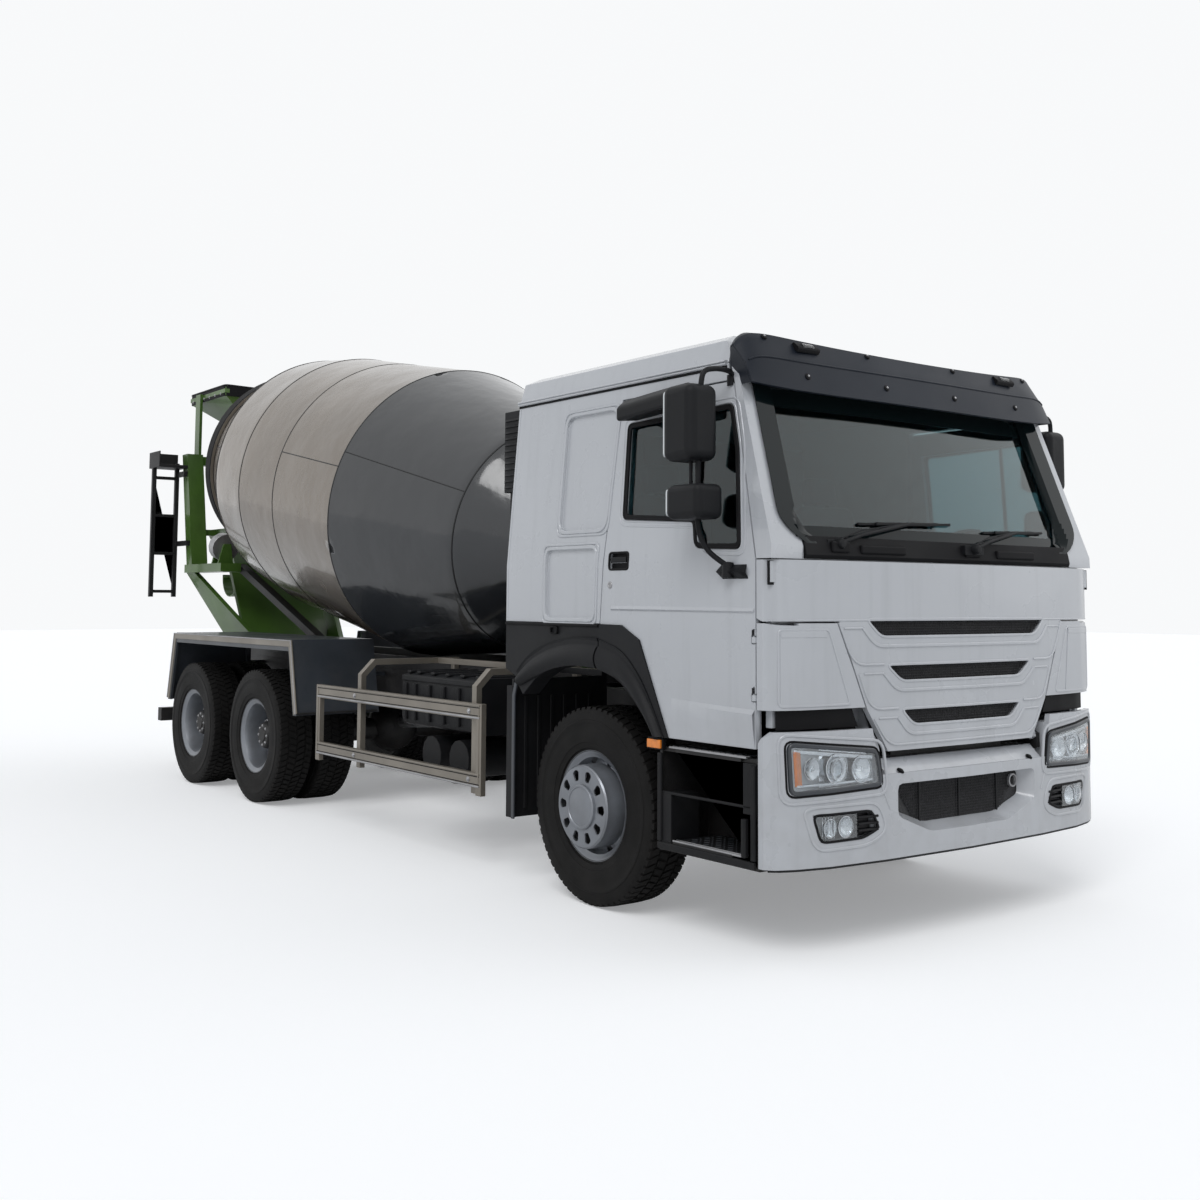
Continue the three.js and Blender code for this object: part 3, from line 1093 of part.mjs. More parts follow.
// Points [y, z] round the lid's pivot, between two angles back from straight below it.
function lidArc(reach, from, to) {
  const steps = 8;
  const outer = reach / Math.cos(THREE.MathUtils.degToRad((to - from) / steps / 2));
  return Array.from({ length: steps + 1 }, (_, i) => {
    const angle = THREE.MathUtils.degToRad(from + (to - from) * i / steps);
    return [LID_PIVOT.y + outer * Math.sin(angle), LID_PIVOT.z - outer * Math.cos(angle)];
  });
}

// What the lid's lower rear corners lose, so that they swing clear of the panels below them.
function lidCorner(side) {
  const arc = lidArc(LID_REACH, 16, 28).slice().reverse();
  return prismX([...arc, [arc[arc.length - 1][0], LID_SEAM - 20], [arc[0][0], LID_SEAM - 20]],
    side * 1095, side * 1300);
}

// Arm on the firewall with the pin that one of the lid's ears turns on.
function lidHingeArm(side) {
  const { y, z } = LID_PIVOT;
  const outer = LID_HINGE_OFFSET + LID_HINGE_WIDTH;
  const arm = prismX([[y - 14, z - 10], [y - 8, z + 11], [FIREWALL_FRONT + 5, z + 11], [FIREWALL_FRONT + 5, z - 60]],
    side * LID_HINGE_OFFSET, side * outer);
  const pin = pinRod([side * (outer - 4), y, z], [side * (outer + MOVE_GAP + 20), y, z], LID_PIN_RADIUS);
  return join(arm, pin);
}

function lidHingeEar(side) {
  const { y, z } = LID_PIVOT;
  const inner = LID_HINGE_OFFSET + LID_HINGE_WIDTH + MOVE_GAP;
  const ear = prismX([[LID_CROWN + 27, z - 35], [LID_CROWN + 27, z + 15], [y + 14, z + 15], [y + 14, z - 14],
    [y - 10, z - 16]], side * inner, side * (inner + 16));
  const bore = pinRod([side * (inner - 5), y, z], [side * (inner + 21), y, z], boreRadius(LID_PIN_RADIUS));
  return cut(ear, bore);
}

function grilleSlot(top, bottom, halfTop, halfBottom) {
  return prismY(rounded([[-halfBottom, bottom], [halfBottom, bottom], [halfTop, top], [-halfTop, top]], 40),
    -1600, -1300);
}

function frontLid() {
  const slots = [grilleSlot(1517, 1433, 695, 600), grilleSlot(1304, 1223, 565, 460), grilleSlot(1094, 1015, 468, 380)];
  const skin = common(noseSkin(LID_BOTTOM - 5, LID_TOP), lidBody(0));
  const flange = cut(common(noseBody(SKIN - 5, LID_TOP - 10, LID_TOP), box(-1180, 1180, -1500, -1408, 1700, 1800)),
    ...SIDES.map(({ side }) => sideBox(side, LID_HINGE_OFFSET - MOVE_GAP, LID_HINGE_OFFSET + LID_HINGE_WIDTH + MOVE_GAP,
      LID_CROWN + SKIN, LID_PIVOT.y + 60, LID_TOP - 20, LID_TOP + 5)));
  const panel = cut(skin, ...slots, lidCorner(RIGHT), lidCorner(LEFT));
  return part('front_lid', join(panel, flange, lidHingeEar(RIGHT), lidHingeEar(LEFT)), finishOf('white'));
}

function windscreenPlan(inset, half) {
  const crown = -1392 + inset;
  const points = Array.from({ length: 9 }, (_, i) => {
    const t = i / 4 - 1;
    return [t * half, crown + 45 * t * t];
  });
  return points;
}

function screenBand(depth0, depth1, half, low, high) {
  const front = windscreenPlan(depth0, half);
  const back = windscreenPlan(depth1, half).reverse();
  return prismZ([...front, ...back], low, high, SCREEN_LEAN, SCREEN_BASE);
}

function screenTaper(margin) {
  return prismY([[-1065 - margin, SCREEN_BASE - margin], [1065 + margin, SCREEN_BASE - margin],
    [1005 + margin, SCREEN_TOP + margin], [-1005 - margin, SCREEN_TOP + margin]], -1600, -900);
}

function windscreen() {
  const pane = screenBand(4, 11, 1080, SCREEN_BASE - 5, SCREEN_TOP + 5);
  return part('windscreen', common(pane, screenTaper(0)), finishOf('glass'));
}

function cabHingeLug(side) {
  const { y, z } = CAB_PIVOT;
  const inner = side * CAB_PIVOT_OFFSET;
  const outer = side * (CAB_PIVOT_OFFSET + 22);
  const arm = prismX([[y - 16, z + 16], [y - 20, z - 4], [y + 4, z - 20], [FIREWALL_BACK, z + 120],
    [FIREWALL_BACK, z + 240], [FIREWALL_FRONT, z + 240]], inner, outer);
  const bore = pinRod([side * (CAB_PIVOT_OFFSET - 10), y, z], [side * (CAB_PIVOT_OFFSET + 40), y, z],
    boreRadius(CAB_PIN_RADIUS));
  return cut(arm, bore);
}

function cabFront() {
  const notch = FRAME_HALF_WIDTH + 20;
  const firewall = cut(box(-1190, 1190, FIREWALL_FRONT, FIREWALL_BACK, 1030, SCREEN_BASE - 20),
    box(-notch, notch, FIREWALL_FRONT - 5, FIREWALL_BACK + 5, 1000, FRAME_TOP + 15));
  const cowlBottom = LID_TOP + MOVE_GAP;
  const cowl = prismX([[-1396, cowlBottom], [-1396, 1850], [-1384, SCREEN_BASE - 12],
    [FIREWALL_BACK, SCREEN_BASE - 12], [FIREWALL_BACK, cowlBottom]], -1190, 1190);
  const cornerZone = SIDES.map(({ side }) => prismY(
    [[700, 1110], [1300, 1110], [1300, LID_SEAM - 16], [875, LID_SEAM - 16]].map(([x, z]) => [side * x, z]),
    -1600, LID_REAR + 10));
  const corners = cut(common(noseSkin(1105, LID_SEAM - 16), join(...cornerZone)), lidBody(MOVE_GAP));
  const posts = SIDES.map(({ side }) => common(
    noseBody(SKIN - 4, 1110, LID_SEAM - 16), sideBox(side, 1150, 1235, -1420, LID_REAR, 1110, LID_SEAM - 16)));
  const pillars = SIDES.map(({ side }) => common(
    prismX([[-1400, LID_TOP + MOVE_GAP], [-1400, 1850], [-1384, SCREEN_BASE],
      [-1384 + SCREEN_LEAN * 840, RAIL_HEIGHT - SEAT_GAP], [-1055, RAIL_HEIGHT - SEAT_GAP],
      [-1081 - DOOR_GAP, 2640], [DOOR_FRONT - DOOR_GAP, LID_TOP + MOVE_GAP]],
    side * 900, side * 1300),
    wallLayer(side, 0, 200)));
  const header = prismX([[-1384 + SCREEN_LEAN * 745, 2640], [-1384 + SCREEN_LEAN * 840, RAIL_HEIGHT - SEAT_GAP],
    [-1040, RAIL_HEIGHT - SEAT_GAP], [-1060, 2640]], -1050, 1050);
  const lidPath = SIDES.map(({ side }) => prismX([...lidArc(LID_REACH + MOVE_GAP, -8, 30),
    [LID_REAR + 20, LID_SEAM + 30], [LID_CROWN, LID_SEAM + 30]], side * 1095, side * 1300));
  const lower = cut(join(corners, ...posts), ...lidPath);
  const shell = join(firewall, cowl, lower, ...pillars, header);
  const aperture = common(screenBand(-80, 200, 1080, SCREEN_BASE - 6, SCREEN_TOP + 6), screenTaper(GLASS_GAP));
  const hinges = SIDES.flatMap(({ side }) => [
    cabHingeLug(side), lidHingeArm(side), ...DOOR_HINGE_HEIGHTS.map((z) => hingeBracket(side, z)),
  ]);
  return part('cab_front', join(cut(shell, aperture), ...hinges), finishOf('white'));
}

const ROOF_SECTION = [[1162, RAIL_HEIGHT], [1125, 2855], [1020, 2900], [500, 2922]];

function roofCap(inset) {
  const half = ROOF_SECTION.map(([x, z]) => [x - inset, z === RAIL_HEIGHT ? z - (inset > 0 ? 5 : 0) : z - inset]);
  const section = [...half, ...half.slice().reverse().map(([x, z]) => [-x, z])];
  const side = [[-1034 + inset, RAIL_HEIGHT - 10], [-1034 + inset, 2790], [-990 + inset, 2850], [-880, 2930],
    [CAB_REAR - inset, 2930], [CAB_REAR - inset, RAIL_HEIGHT - 10]];
  return common(prismY(section, -1100, CAB_REAR + 10), prismX(side, -1300, 1300));
}

function cabRoof() {
  return part('cab_roof', cut(roofCap(0), roofCap(40)), finishOf('white'));
}

// Sun visor across the top of the windscreen.
function visor() {
  const plan = (inset) => nosePlan(inset, -1034 - SEAT_GAP, -1238, [[600, -1222], [900, -1195], [1090, -1155],
    [1165, -1100]]);
  const lean = 0.42;
  const low = 2628;
  const high = 2835;
  const body = prismZ(plan(0), low, high, lean, low);
  const hollow = prismZ(plan(25), low - 5, high - 25, lean, low);
  const behind = box(-1300, 1300, -1034 - SEAT_GAP, -600, 2500, 2900);
  const cab = join(wallLayer(RIGHT, -SEAT_GAP, 400), wallLayer(LEFT, -SEAT_GAP, 400));
  const band = prismX([[-1300, low], [-1090, low], [-1034 - SEAT_GAP, low + 110], [-1034 - SEAT_GAP, high],
    [-1300, high]], -1300, 1300);
  return part('visor', cut(common(cut(body, hollow), band), behind, cab), finishOf('charcoal'));
}

function airIntake() {
  const rear = CAB_REAR + SEAT_GAP;
  const head = sideBox(RIGHT, 1000, 1150, rear, 935, 2230, 2710);
  const duct = sideBox(RIGHT, 1020, 1130, rear + 30, 900, 1640, 2240);
  const bellows = sideBox(RIGHT, 1010, 1140, rear + 20, 910, 1600, 1700);
  const clip = sideBox(RIGHT, 1040, 1110, rear, rear + 40, 1700, 1760);
  return part('air_intake', join(head, duct, bellows, clip), finishOf('plastic'));
}

const COLUMN_TILT = THREE.MathUtils.degToRad(32);
const WHEEL_CENTRE = [DRIVER_OFFSET, -880, 1870];

function columnPoint(distance) {
  const [x, y, z] = WHEEL_CENTRE;
  return [x, y + distance * Math.sin(COLUMN_TILT), z + distance * Math.cos(COLUMN_TILT)];
}

function dashboard() {
  const body = prismX([[FIREWALL_BACK + SEAT_GAP, 1560], [-1080, 1560], [-1020, 1700], [-1040, 1850],
    [-1120, 1870], [FIREWALL_BACK + SEAT_GAP, 1870]], -1035, 1035);
  const shroud = rod(columnPoint(-420), columnPoint(-150), 50);
  const face = box(DRIVER_OFFSET - 80, DRIVER_OFFSET + 80, -1150, -1000, 1450, 1600);
  return part('dashboard', join(body, shroud, face), finishOf('plastic'));
}

function steeringWheel() {
  const ring = new THREE.TorusGeometry(225, 16, 6, 14);
  ring.rotateX(-COLUMN_TILT);
  ring.translate(...WHEEL_CENTRE);
  const boss = rod(columnPoint(-60), columnPoint(10), 60);
  const shaft = rod(columnPoint(-150 + PIN_GAP), columnPoint(0), 22);
  const axis = new THREE.Vector3(0, Math.sin(COLUMN_TILT), Math.cos(COLUMN_TILT));
  const spokes = [0, 140, 220].map((angle) => {
    const out = new THREE.Vector3(0, -225, 0).applyAxisAngle(new THREE.Vector3(0, 0, 1),
      THREE.MathUtils.degToRad(angle)).applyAxisAngle(new THREE.Vector3(1, 0, 0), -COLUMN_TILT);
    const start = new THREE.Vector3(...WHEEL_CENTRE).addScaledVector(axis, -20);
    const end = new THREE.Vector3(...WHEEL_CENTRE).add(out);
    return rod(start.toArray(), end.toArray(), 11, 6);
  });
  return part('steering_wheel', join(solid(ring), boss, shaft, ...spokes), finishOf('black'));
}

function seat(side, label) {
  const x = side * DRIVER_OFFSET;
  const base = boxAt([x, -330, (FLOOR_HEIGHT + SEAT_GAP + 1520) / 2], [300, 420, 1520 - FLOOR_HEIGHT - SEAT_GAP]);
  const cushion = prismX(rounded([[-620, 1510], [-60, 1510], [-60, 1610], [-620, 1650]], 30), x - 250, x + 250);
  const back = prismX(rounded([[-100, 1590], [20, 1590], [130, 2180], [30, 2190]], 30), x - 240, x + 240);
  const head = prismX(rounded([[55, 2170], [130, 2160], [150, 2350], [75, 2360]], 25), x - 130, x + 130);
  return part(`seat_${label}`, join(base, cushion, back, head), finishOf('fabric'));
}

// ---------------------------------------------------------------- the truck

const chassis = group(
  chassisFrame(), frontAxle(), rearBogie(), engineBlock(), driveShaft(), frontBumper(), fuelTank(),
  batteryBox(), waterTank(), tieRod(),
  ...SIDES.flatMap(({ side, label }) => [
    stepBox(side, label), sideGuard(side, label), rearFender(side, label), knuckle(side, label),
    frontWheel(side, label), rearWheels(side, label, 'front', DRIVE_AXLES[0]),
    rearWheels(side, label, 'rear', DRIVE_AXLES[1]),
  ]));

const mixer = group(
  subframe(), drivePedestal(), rearPedestal(), hopper(), dischargeFunnel(), ladder(), drum(), drumRing(),
  roller(RIGHT, 'right'), roller(LEFT, 'left'), chuteSwivel(), chute());

const cab = group(
  cabFloor(), cabRearWall(), cabFront(), cabRoof(), windscreen(), visor(), frontLid(), dashboard(),
  steeringWheel(), airIntake(),
  ...SIDES.flatMap(({ side, label }) => [
    cabSide(side, label), archCladding(side, label), door(side, label), doorGlass(side, label),
    mirrors(side, label), seat(side, label),
  ]));

const truck = group(chassis, mixer, cab);
truck.position.y = -(FRONT_END + CHUTE_PIVOT.y + CHUTE_RADIUS) / 2;

export default truck;
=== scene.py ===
"""The looks of a concrete mixer truck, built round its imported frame, in metres."""

import json
import math

import bmesh
import bpy
from mathutils import Matrix, Vector
from mathutils.bvhtree import BVHTree


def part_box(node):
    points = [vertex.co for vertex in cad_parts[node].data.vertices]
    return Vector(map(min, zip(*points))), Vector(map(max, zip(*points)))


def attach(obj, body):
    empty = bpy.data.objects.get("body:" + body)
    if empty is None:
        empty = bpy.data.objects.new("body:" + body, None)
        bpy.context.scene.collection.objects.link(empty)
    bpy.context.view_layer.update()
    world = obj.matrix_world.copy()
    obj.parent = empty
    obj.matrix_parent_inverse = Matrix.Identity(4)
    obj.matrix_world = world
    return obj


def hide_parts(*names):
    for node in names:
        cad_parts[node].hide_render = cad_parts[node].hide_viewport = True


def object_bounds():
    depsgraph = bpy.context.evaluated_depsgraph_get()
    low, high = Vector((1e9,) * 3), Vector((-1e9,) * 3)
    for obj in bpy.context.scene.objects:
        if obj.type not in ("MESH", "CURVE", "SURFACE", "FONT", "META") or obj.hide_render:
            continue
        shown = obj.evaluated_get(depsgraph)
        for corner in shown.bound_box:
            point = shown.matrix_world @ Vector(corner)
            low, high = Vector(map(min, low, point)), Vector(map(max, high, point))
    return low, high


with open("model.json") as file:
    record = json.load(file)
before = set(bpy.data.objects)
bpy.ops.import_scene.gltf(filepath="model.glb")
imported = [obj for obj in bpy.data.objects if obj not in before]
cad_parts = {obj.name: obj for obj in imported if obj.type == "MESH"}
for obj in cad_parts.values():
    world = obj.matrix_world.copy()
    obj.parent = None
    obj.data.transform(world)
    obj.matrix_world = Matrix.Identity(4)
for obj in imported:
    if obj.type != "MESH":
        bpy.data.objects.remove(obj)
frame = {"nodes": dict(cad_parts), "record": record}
CAD_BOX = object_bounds()
RIGHT, LEFT = -1, 1
SIDES = (("right", RIGHT), ("left", LEFT))
X = Vector((1, 0, 0))
Y = Vector((0, 1, 0))
Z = Vector((0, 0, 1))


def middle(node):
    """The centre of a CAD node's box."""
    low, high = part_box(node)
    return (low + high) / 2


FRONT_AXLE = middle("front_wheel_right").y


def at(x, y, z):
    """A point whose y is measured back from the front axle."""
    return Vector((x, FRONT_AXLE + y, z))


# ---------------------------------------------------------------- camera, lights, floor

CAMERA_AT = (-5.433, -8.8375, 1.598)
CAMERA_YAW, CAMERA_PITCH, CAMERA_ROLL = (math.radians(a) for a in (37.21, 4.39, 0.31))
LENS = 39.81
SENSOR = 36.0
SHIFT = (-0.0024, -0.0846)
FLOOR_COLOUR = (0.86, 0.865, 0.87, 1)
FLOOR_LIFT = 0.27
FLOOR_SIZE = 60
SKY_LEVEL = 0.52


def add_node(tree, kind, inputs=(), **settings):
    """The outputs of a new shader node. Its inputs are given in order, or by name in a dict."""
    made = tree.nodes.new("ShaderNode" + kind)
    for key, value in settings.items():
        setattr(made, key, value)
    for key, value in inputs.items() if isinstance(inputs, dict) else enumerate(inputs):
        if isinstance(value, bpy.types.NodeSocket):
            tree.links.new(value, made.inputs[key])
        else:
            made.inputs[key].default_value = value
    return made.outputs


def placed(name, data):
    """A new object in the scene."""
    made = bpy.data.objects.new(name, data)
    bpy.context.scene.collection.objects.link(made)
    return made


def make_camera():
    """The camera that stood where the photograph was taken."""
    data = bpy.data.cameras.new("camera")
    data.lens = LENS
    data.sensor_width = SENSOR
    data.shift_x, data.shift_y = SHIFT
    data.clip_end = 200
    ahead = Vector((math.sin(CAMERA_YAW) * math.cos(CAMERA_PITCH),
                    math.cos(CAMERA_YAW) * math.cos(CAMERA_PITCH),
                    math.sin(CAMERA_PITCH)))
    level = Vector((math.cos(CAMERA_YAW), -math.sin(CAMERA_YAW), 0))
    above = level.cross(ahead)
    right = level * math.cos(CAMERA_ROLL) + above * math.sin(CAMERA_ROLL)
    up = above * math.cos(CAMERA_ROLL) - level * math.sin(CAMERA_ROLL)
    camera = placed("camera", data)
    camera.matrix_world = Matrix.Translation(CAMERA_AT) @ Matrix((right, up, -ahead)).transposed().to_4x4()
    bpy.context.scene.camera = camera


def make_sun(name, strength, softness, heading, height):
    """A soft lamp that shines from a heading (0 is the front, 90 the left) and a height, in degrees."""
    data = bpy.data.lights.new(name, "SUN")
    data.energy = strength
    data.angle = math.radians(softness)
    turn, rise = math.radians(heading), math.radians(height)
    source = Vector((math.sin(turn) * math.cos(rise), -math.cos(turn) * math.cos(rise), math.sin(rise)))
    placed(name, data).rotation_euler = source.to_track_quat("Z", "Y").to_euler()


def make_world():
    """A soft sky that the camera, metal and glass see as a pale backdrop."""
    world = bpy.data.worlds.new("studio")
    bpy.context.scene.world = world
    world.use_nodes = True
    tree = world.node_tree
    tree.nodes.clear()
    rays = add_node(tree, "LightPath")
    seen = add_node(tree, "Math", (rays["Is Glossy Ray"], rays["Is Transmission Ray"]), operation="MAXIMUM")
    pale = add_node(tree, "Math", (rays["Is Camera Ray"], seen[0]), operation="MAXIMUM")
    light = add_node(tree, "Background", ((0.93, 0.96, 1, 1), SKY_LEVEL))
    backdrop = add_node(tree, "Background", ((0.94, 0.95, 0.96, 1),))
    mix = add_node(tree, "MixShader", (pale[0], light[0], backdrop[0]))
    add_node(tree, "OutputWorld", (mix[0],))


def make_floor():
    """A pale floor that brightens towards the backdrop in the camera's rays."""
    mesh = bpy.data.meshes.new("floor")
    corners = [(x * FLOOR_SIZE, y * FLOOR_SIZE, 0) for x, y in ((-1, -1), (1, -1), (1, 1), (-1, 1))]
    mesh.from_pydata(corners, [], [(0, 1, 2, 3)])
    floor = placed("floor", mesh)
    floor.location.z = CAD_BOX[0][2] - 0.001
    material = bpy.data.materials.new("floor")
    material.use_nodes = True
    tree = material.node_tree
    shader = tree.nodes["Principled BSDF"].inputs
    shader["Base Color"].default_value = FLOOR_COLOUR
    shader["Roughness"].default_value = 0.9
    shader["Emission Color"].default_value = (0.97, 0.98, 1, 1)
    seen = add_node(tree, "LightPath")["Is Camera Ray"]
    lift = add_node(tree, "Math", (seen, FLOOR_LIFT), operation="MULTIPLY")
    tree.links.new(lift[0], shader["Emission Strength"])
    mesh.materials.append(material)


make_camera()
make_world()
make_floor()
make_sun("key", 1.2, 30, -55, 46)
make_sun("fill", 0.35, 60, 60, 30)
bpy.context.scene.view_settings.view_transform = "Standard"

# ---------------------------------------------------------------- materials

DUST_COLOUR = (0.17, 0.15, 0.13, 1)
MAT = {}


def surface(name, colour, roughness, metallic=0.0, coat=0.0, shade=0.12, patch=1.4, grain=0.0,
            grain_size=0.004, dust=0.0, cloudy=0.06, streaks=0.0, transmission=0.0, sheen=0.0, gloss=0.5):
    """A finish for MAT, with drifting colour, uneven gloss, a fine grain and road dust towards the ground."""
    material = bpy.data.materials.new(name)
    material.use_nodes = True
    tree = material.node_tree
    link = tree.links.new
    shader = tree.nodes["Principled BSDF"].inputs
    for key, value in (("Metallic", metallic), ("Coat Weight", coat), ("Coat Roughness", 0.06),
                       ("Sheen Weight", sheen), ("Transmission Weight", transmission),
                       ("Specular IOR Level", gloss)):
        shader[key].default_value = value
    place = add_node(tree, "TexCoord")["Object"]

    def noise(size, detail, stretch=(1, 1, 1)):
        mapped = add_node(tree, "Mapping", {"Vector": place, "Scale": stretch})
        return add_node(tree, "TexNoise", {"Vector": mapped[0], "Scale": 1 / size, "Detail": detail})["Fac"]

    def blend(factor, first, second):
        return add_node(tree, "Mix", {"Factor": factor, "A": first, "B": second}, data_type="RGBA")["Result"]

    def spread(value, low, high, to_low, to_high):
        return add_node(tree, "MapRange", (value, low, high, to_low, to_high))["Result"]

    def tone(scale):
        return tuple(min(1, c * scale) for c in colour) + (1,)

    tint = blend(spread(noise(patch, 5), 0.3, 0.7, 0, 1), tone(1 - shade), tone(1 + shade))
    if streaks:
        tint = blend(spread(noise(0.06, 6, (1, 1, 0.07)), 0.52, 0.8, 0, streaks), tint, tone(0.62))
    if dust:
        low = spread(add_node(tree, "SeparateXYZ", (place,))["Z"], 0.0, 1.5, dust, 0)
        speckles = spread(noise(0.11, 8), 0.35, 0.7, 0.2, 1)
        tint = blend(add_node(tree, "Math", (low, speckles), operation="MULTIPLY")[0], tint, DUST_COLOUR)
    link(tint, shader["Base Color"])
    link(spread(noise(0.3, 6), 0.3, 0.7, max(0.02, roughness - cloudy), roughness + cloudy),
         shader["Roughness"])
    if grain:
        bump = add_node(tree, "Bump", {"Strength": grain, "Distance": grain_size,
                                       "Height": noise(grain_size, 3)})
        link(bump[0], shader["Normal"])
    MAT[name] = material


surface("cab_paint", (0.455, 0.472, 0.50), 0.30, coat=0.5, shade=0.05, streaks=0.22, dust=0.25)
surface("green_paint", (0.048, 0.108, 0.015), 0.42, coat=0.25, shade=0.25, patch=0.5, streaks=0.3, grain=0.12,
        grain_size=0.012)
surface("drum_paint", (0.155, 0.124, 0.094), 0.24, metallic=0.35, coat=0.55, shade=0.16, patch=1.1,
        grain=0.05, grain_size=0.35, cloudy=0.08)
# A painted reflection: the near-black of the drum's front cone stands in for the dark sky the cone reflects.
surface("drum_dark", (0.017, 0.019, 0.022), 0.2, coat=0.6, shade=0.2, patch=1.1, grain=0.05, grain_size=0.35)
surface("chassis_black", (0.010, 0.010, 0.011), 0.5, shade=0.3, patch=0.4, grain=0.2, grain_size=0.01,
        dust=0.12, gloss=0.35)
surface("bright_rail", (0.235, 0.212, 0.18), 0.36, metallic=0.55, shade=0.15, patch=0.35, grain=0.06,
        dust=0.25)
surface("slate_plate", (0.028, 0.034, 0.043), 0.42, coat=0.2, shade=0.25, patch=0.5, dust=0.2, grain=0.04,
        grain_size=0.02)
surface("black_plastic", (0.008, 0.0085, 0.010), 0.5, shade=0.2, grain=0.3, grain_size=0.0025, dust=0.05,
        gloss=0.18)
surface("visor_plastic", (0.010, 0.0135, 0.021), 0.42, shade=0.2, grain=0.05, gloss=0.2)
surface("bare_steel", (0.36, 0.36, 0.37), 0.38, metallic=0.85, shade=0.2, patch=0.2, grain=0.1,
        grain_size=0.006)
surface("rim_paint", (0.23, 0.245, 0.27), 0.34, metallic=0.55, shade=0.12, patch=0.15, grain=0.05, dust=0.2)
surface("tyre_rubber", (0.0062, 0.0060, 0.0060), 0.62, shade=0.25, patch=0.12, grain=0.35, grain_size=0.003,
        dust=0.03, gloss=0.14)
surface("window_glass", (0.17, 0.28, 0.30), 0.03, shade=0.05, cloudy=0.01, transmission=1.0, gloss=0.06)
surface("lamp_glass", (0.9, 0.93, 0.95), 0.05, shade=0.03, cloudy=0.02, transmission=0.95, grain=0.12,
        grain_size=0.02)
surface("mirror_glass", (0.55, 0.58, 0.6), 0.04, metallic=1, shade=0.04, cloudy=0.02)
surface("chrome", (0.62, 0.64, 0.66), 0.12, metallic=1, shade=0.1, patch=0.05)
surface("amber_lens", (0.75, 0.22, 0.02), 0.2, coat=0.5, shade=0.15, patch=0.03, grain=0.3, grain_size=0.004)
surface("red_lens", (0.5, 0.02, 0.015), 0.2, coat=0.5, shade=0.15, patch=0.03, grain=0.3, grain_size=0.004)
surface("rubber_seal", (0.005, 0.005, 0.006), 0.6, shade=0.2, grain=0.15, grain_size=0.004, gloss=0.15)
surface("dark_glass", (0.005, 0.009, 0.010), 0.08, shade=0.2, cloudy=0.02, gloss=0.2)
surface("dark_mesh", (0.010, 0.010, 0.012), 0.5, shade=0.3, patch=0.05, grain=0.4, grain_size=0.012)
surface("seat_fabric", (0.06, 0.062, 0.07), 0.9, shade=0.2, patch=0.02, grain=0.6, grain_size=0.002,
        sheen=0.4)

# ---------------------------------------------------------------- shapes

SAME_POINT = 0.00005
EDGE_ANGLE = math.radians(38)


def box(low, high):
    """A box between two corners."""
    xs, ys, zs = zip(low, high)
    points = [Vector((x, y, z)) for x in xs for y in ys for z in zs]
    return points, [(0, 1, 3, 2), (4, 6, 7, 5), (0, 4, 5, 1), (2, 3, 7, 6), (0, 2, 6, 4), (1, 5, 7, 3)]


def sweep(path, section, out, closed=False):
    """A section [(across, outward)] carried along a path, with its corners mitred."""
    count, size = len(path), len(section)
    points = []
    for i, point in enumerate(path):
        before = path[i - 1] if i or closed else None
        after = path[(i + 1) % count] if i < count - 1 or closed else None
        come = (point - before).normalized() if before is not None else (after - point).normalized()
        go = (after - point).normalized() if after is not None else come
        along = (come + go).normalized()
        stretch = 1 / max(0.5, along.dot(come))
        across = along.cross(out).normalized()
        lift = across.cross(along)
        points += [point + across * (u * stretch) + lift * v for u, v in section]
    rings = count if closed else count - 1
    faces = [(i * size + j, i * size + (j + 1) % size,
              (i + 1) % count * size + (j + 1) % size, (i + 1) % count * size + j)
             for i in range(rings) for j in range(size)]
    if not closed:
        faces += [tuple(range(size)), tuple(range((count - 1) * size, count * size))]
    return points, faces


def strip(width, proud, deep=0.004):
    """A flat section with chamfered outer corners."""
    half, chamfer = width / 2, min(width, proud + deep) * 0.3
    return [(-half, -deep), (half, -deep), (half, proud - chamfer), (half - chamfer, proud),
            (chamfer - half, proud), (-half, proud - chamfer)]


def disc(radius, sides=12):
    """A round section."""
    turns = [2 * math.pi * i / sides for i in range(sides)]
    return [(radius * math.cos(a), radius * math.sin(a)) for a in turns]


def tube(path, radius, sides=12, closed=False):
    """A round bar along a path."""
    ends = path[-1] - path[0] if not closed else path[1] - path[0]
    out = X if abs(ends.normalized().x) < 0.8 else Z
    return sweep(path, disc(radius, sides), out, closed)


def lathe(profile, origin, axis, sides=48, closed=False):
    """A profile [(along, radius)] turned about an axis."""
    axis = axis.normalized()
    first = axis.cross(Z if abs(axis.z) < 0.9 else X).normalized()
    second = axis.cross(first)
    points, faces = [], []
    for i in range(sides):
        a = 2 * math.pi * i / sides
        ray = first * math.cos(a) + second * math.sin(a)
        points += [origin + axis * s + ray * r for s, r in profile]
    size = len(profile)
    steps = size if closed else size - 1
    for i in range(sides):
        here, there = i * size, (i + 1) % sides * size
        faces += [(here + j, here + (j + 1) % size, there + (j + 1) % size, there + j) for j in range(steps)]
    if not closed:
        faces += [tuple(i * size for i in range(sides)), tuple(i * size + size - 1 for i in range(sides))]
    return points, faces


def bolt(origin, axis, radius=0.011, height=0.008):
    """A hexagon head on its washer."""
    return merged(lathe([(0, radius * 1.45), (height * 0.25, radius * 1.4)], origin, axis, 16),
                  lathe([(0, radius), (height * 0.8, radius), (height, radius * 0.8)], origin, axis, 6))


def merged(*parts):
    """Several shapes as one."""
    points, faces = [], []
    for some, sides in parts:
        base = len(points)
        points += some
        faces += [tuple(base + i for i in f) for f in sides]
    return points, faces


def prism(near, far):
    """A solid between two outlines of as many points each; its two ends are the first faces."""
    count = len(near)
    walls = [(i, (i + 1) % count, count + (i + 1) % count, count + i) for i in range(count)]
    return near + far, [tuple(range(count)), tuple(range(count, 2 * count))] + walls


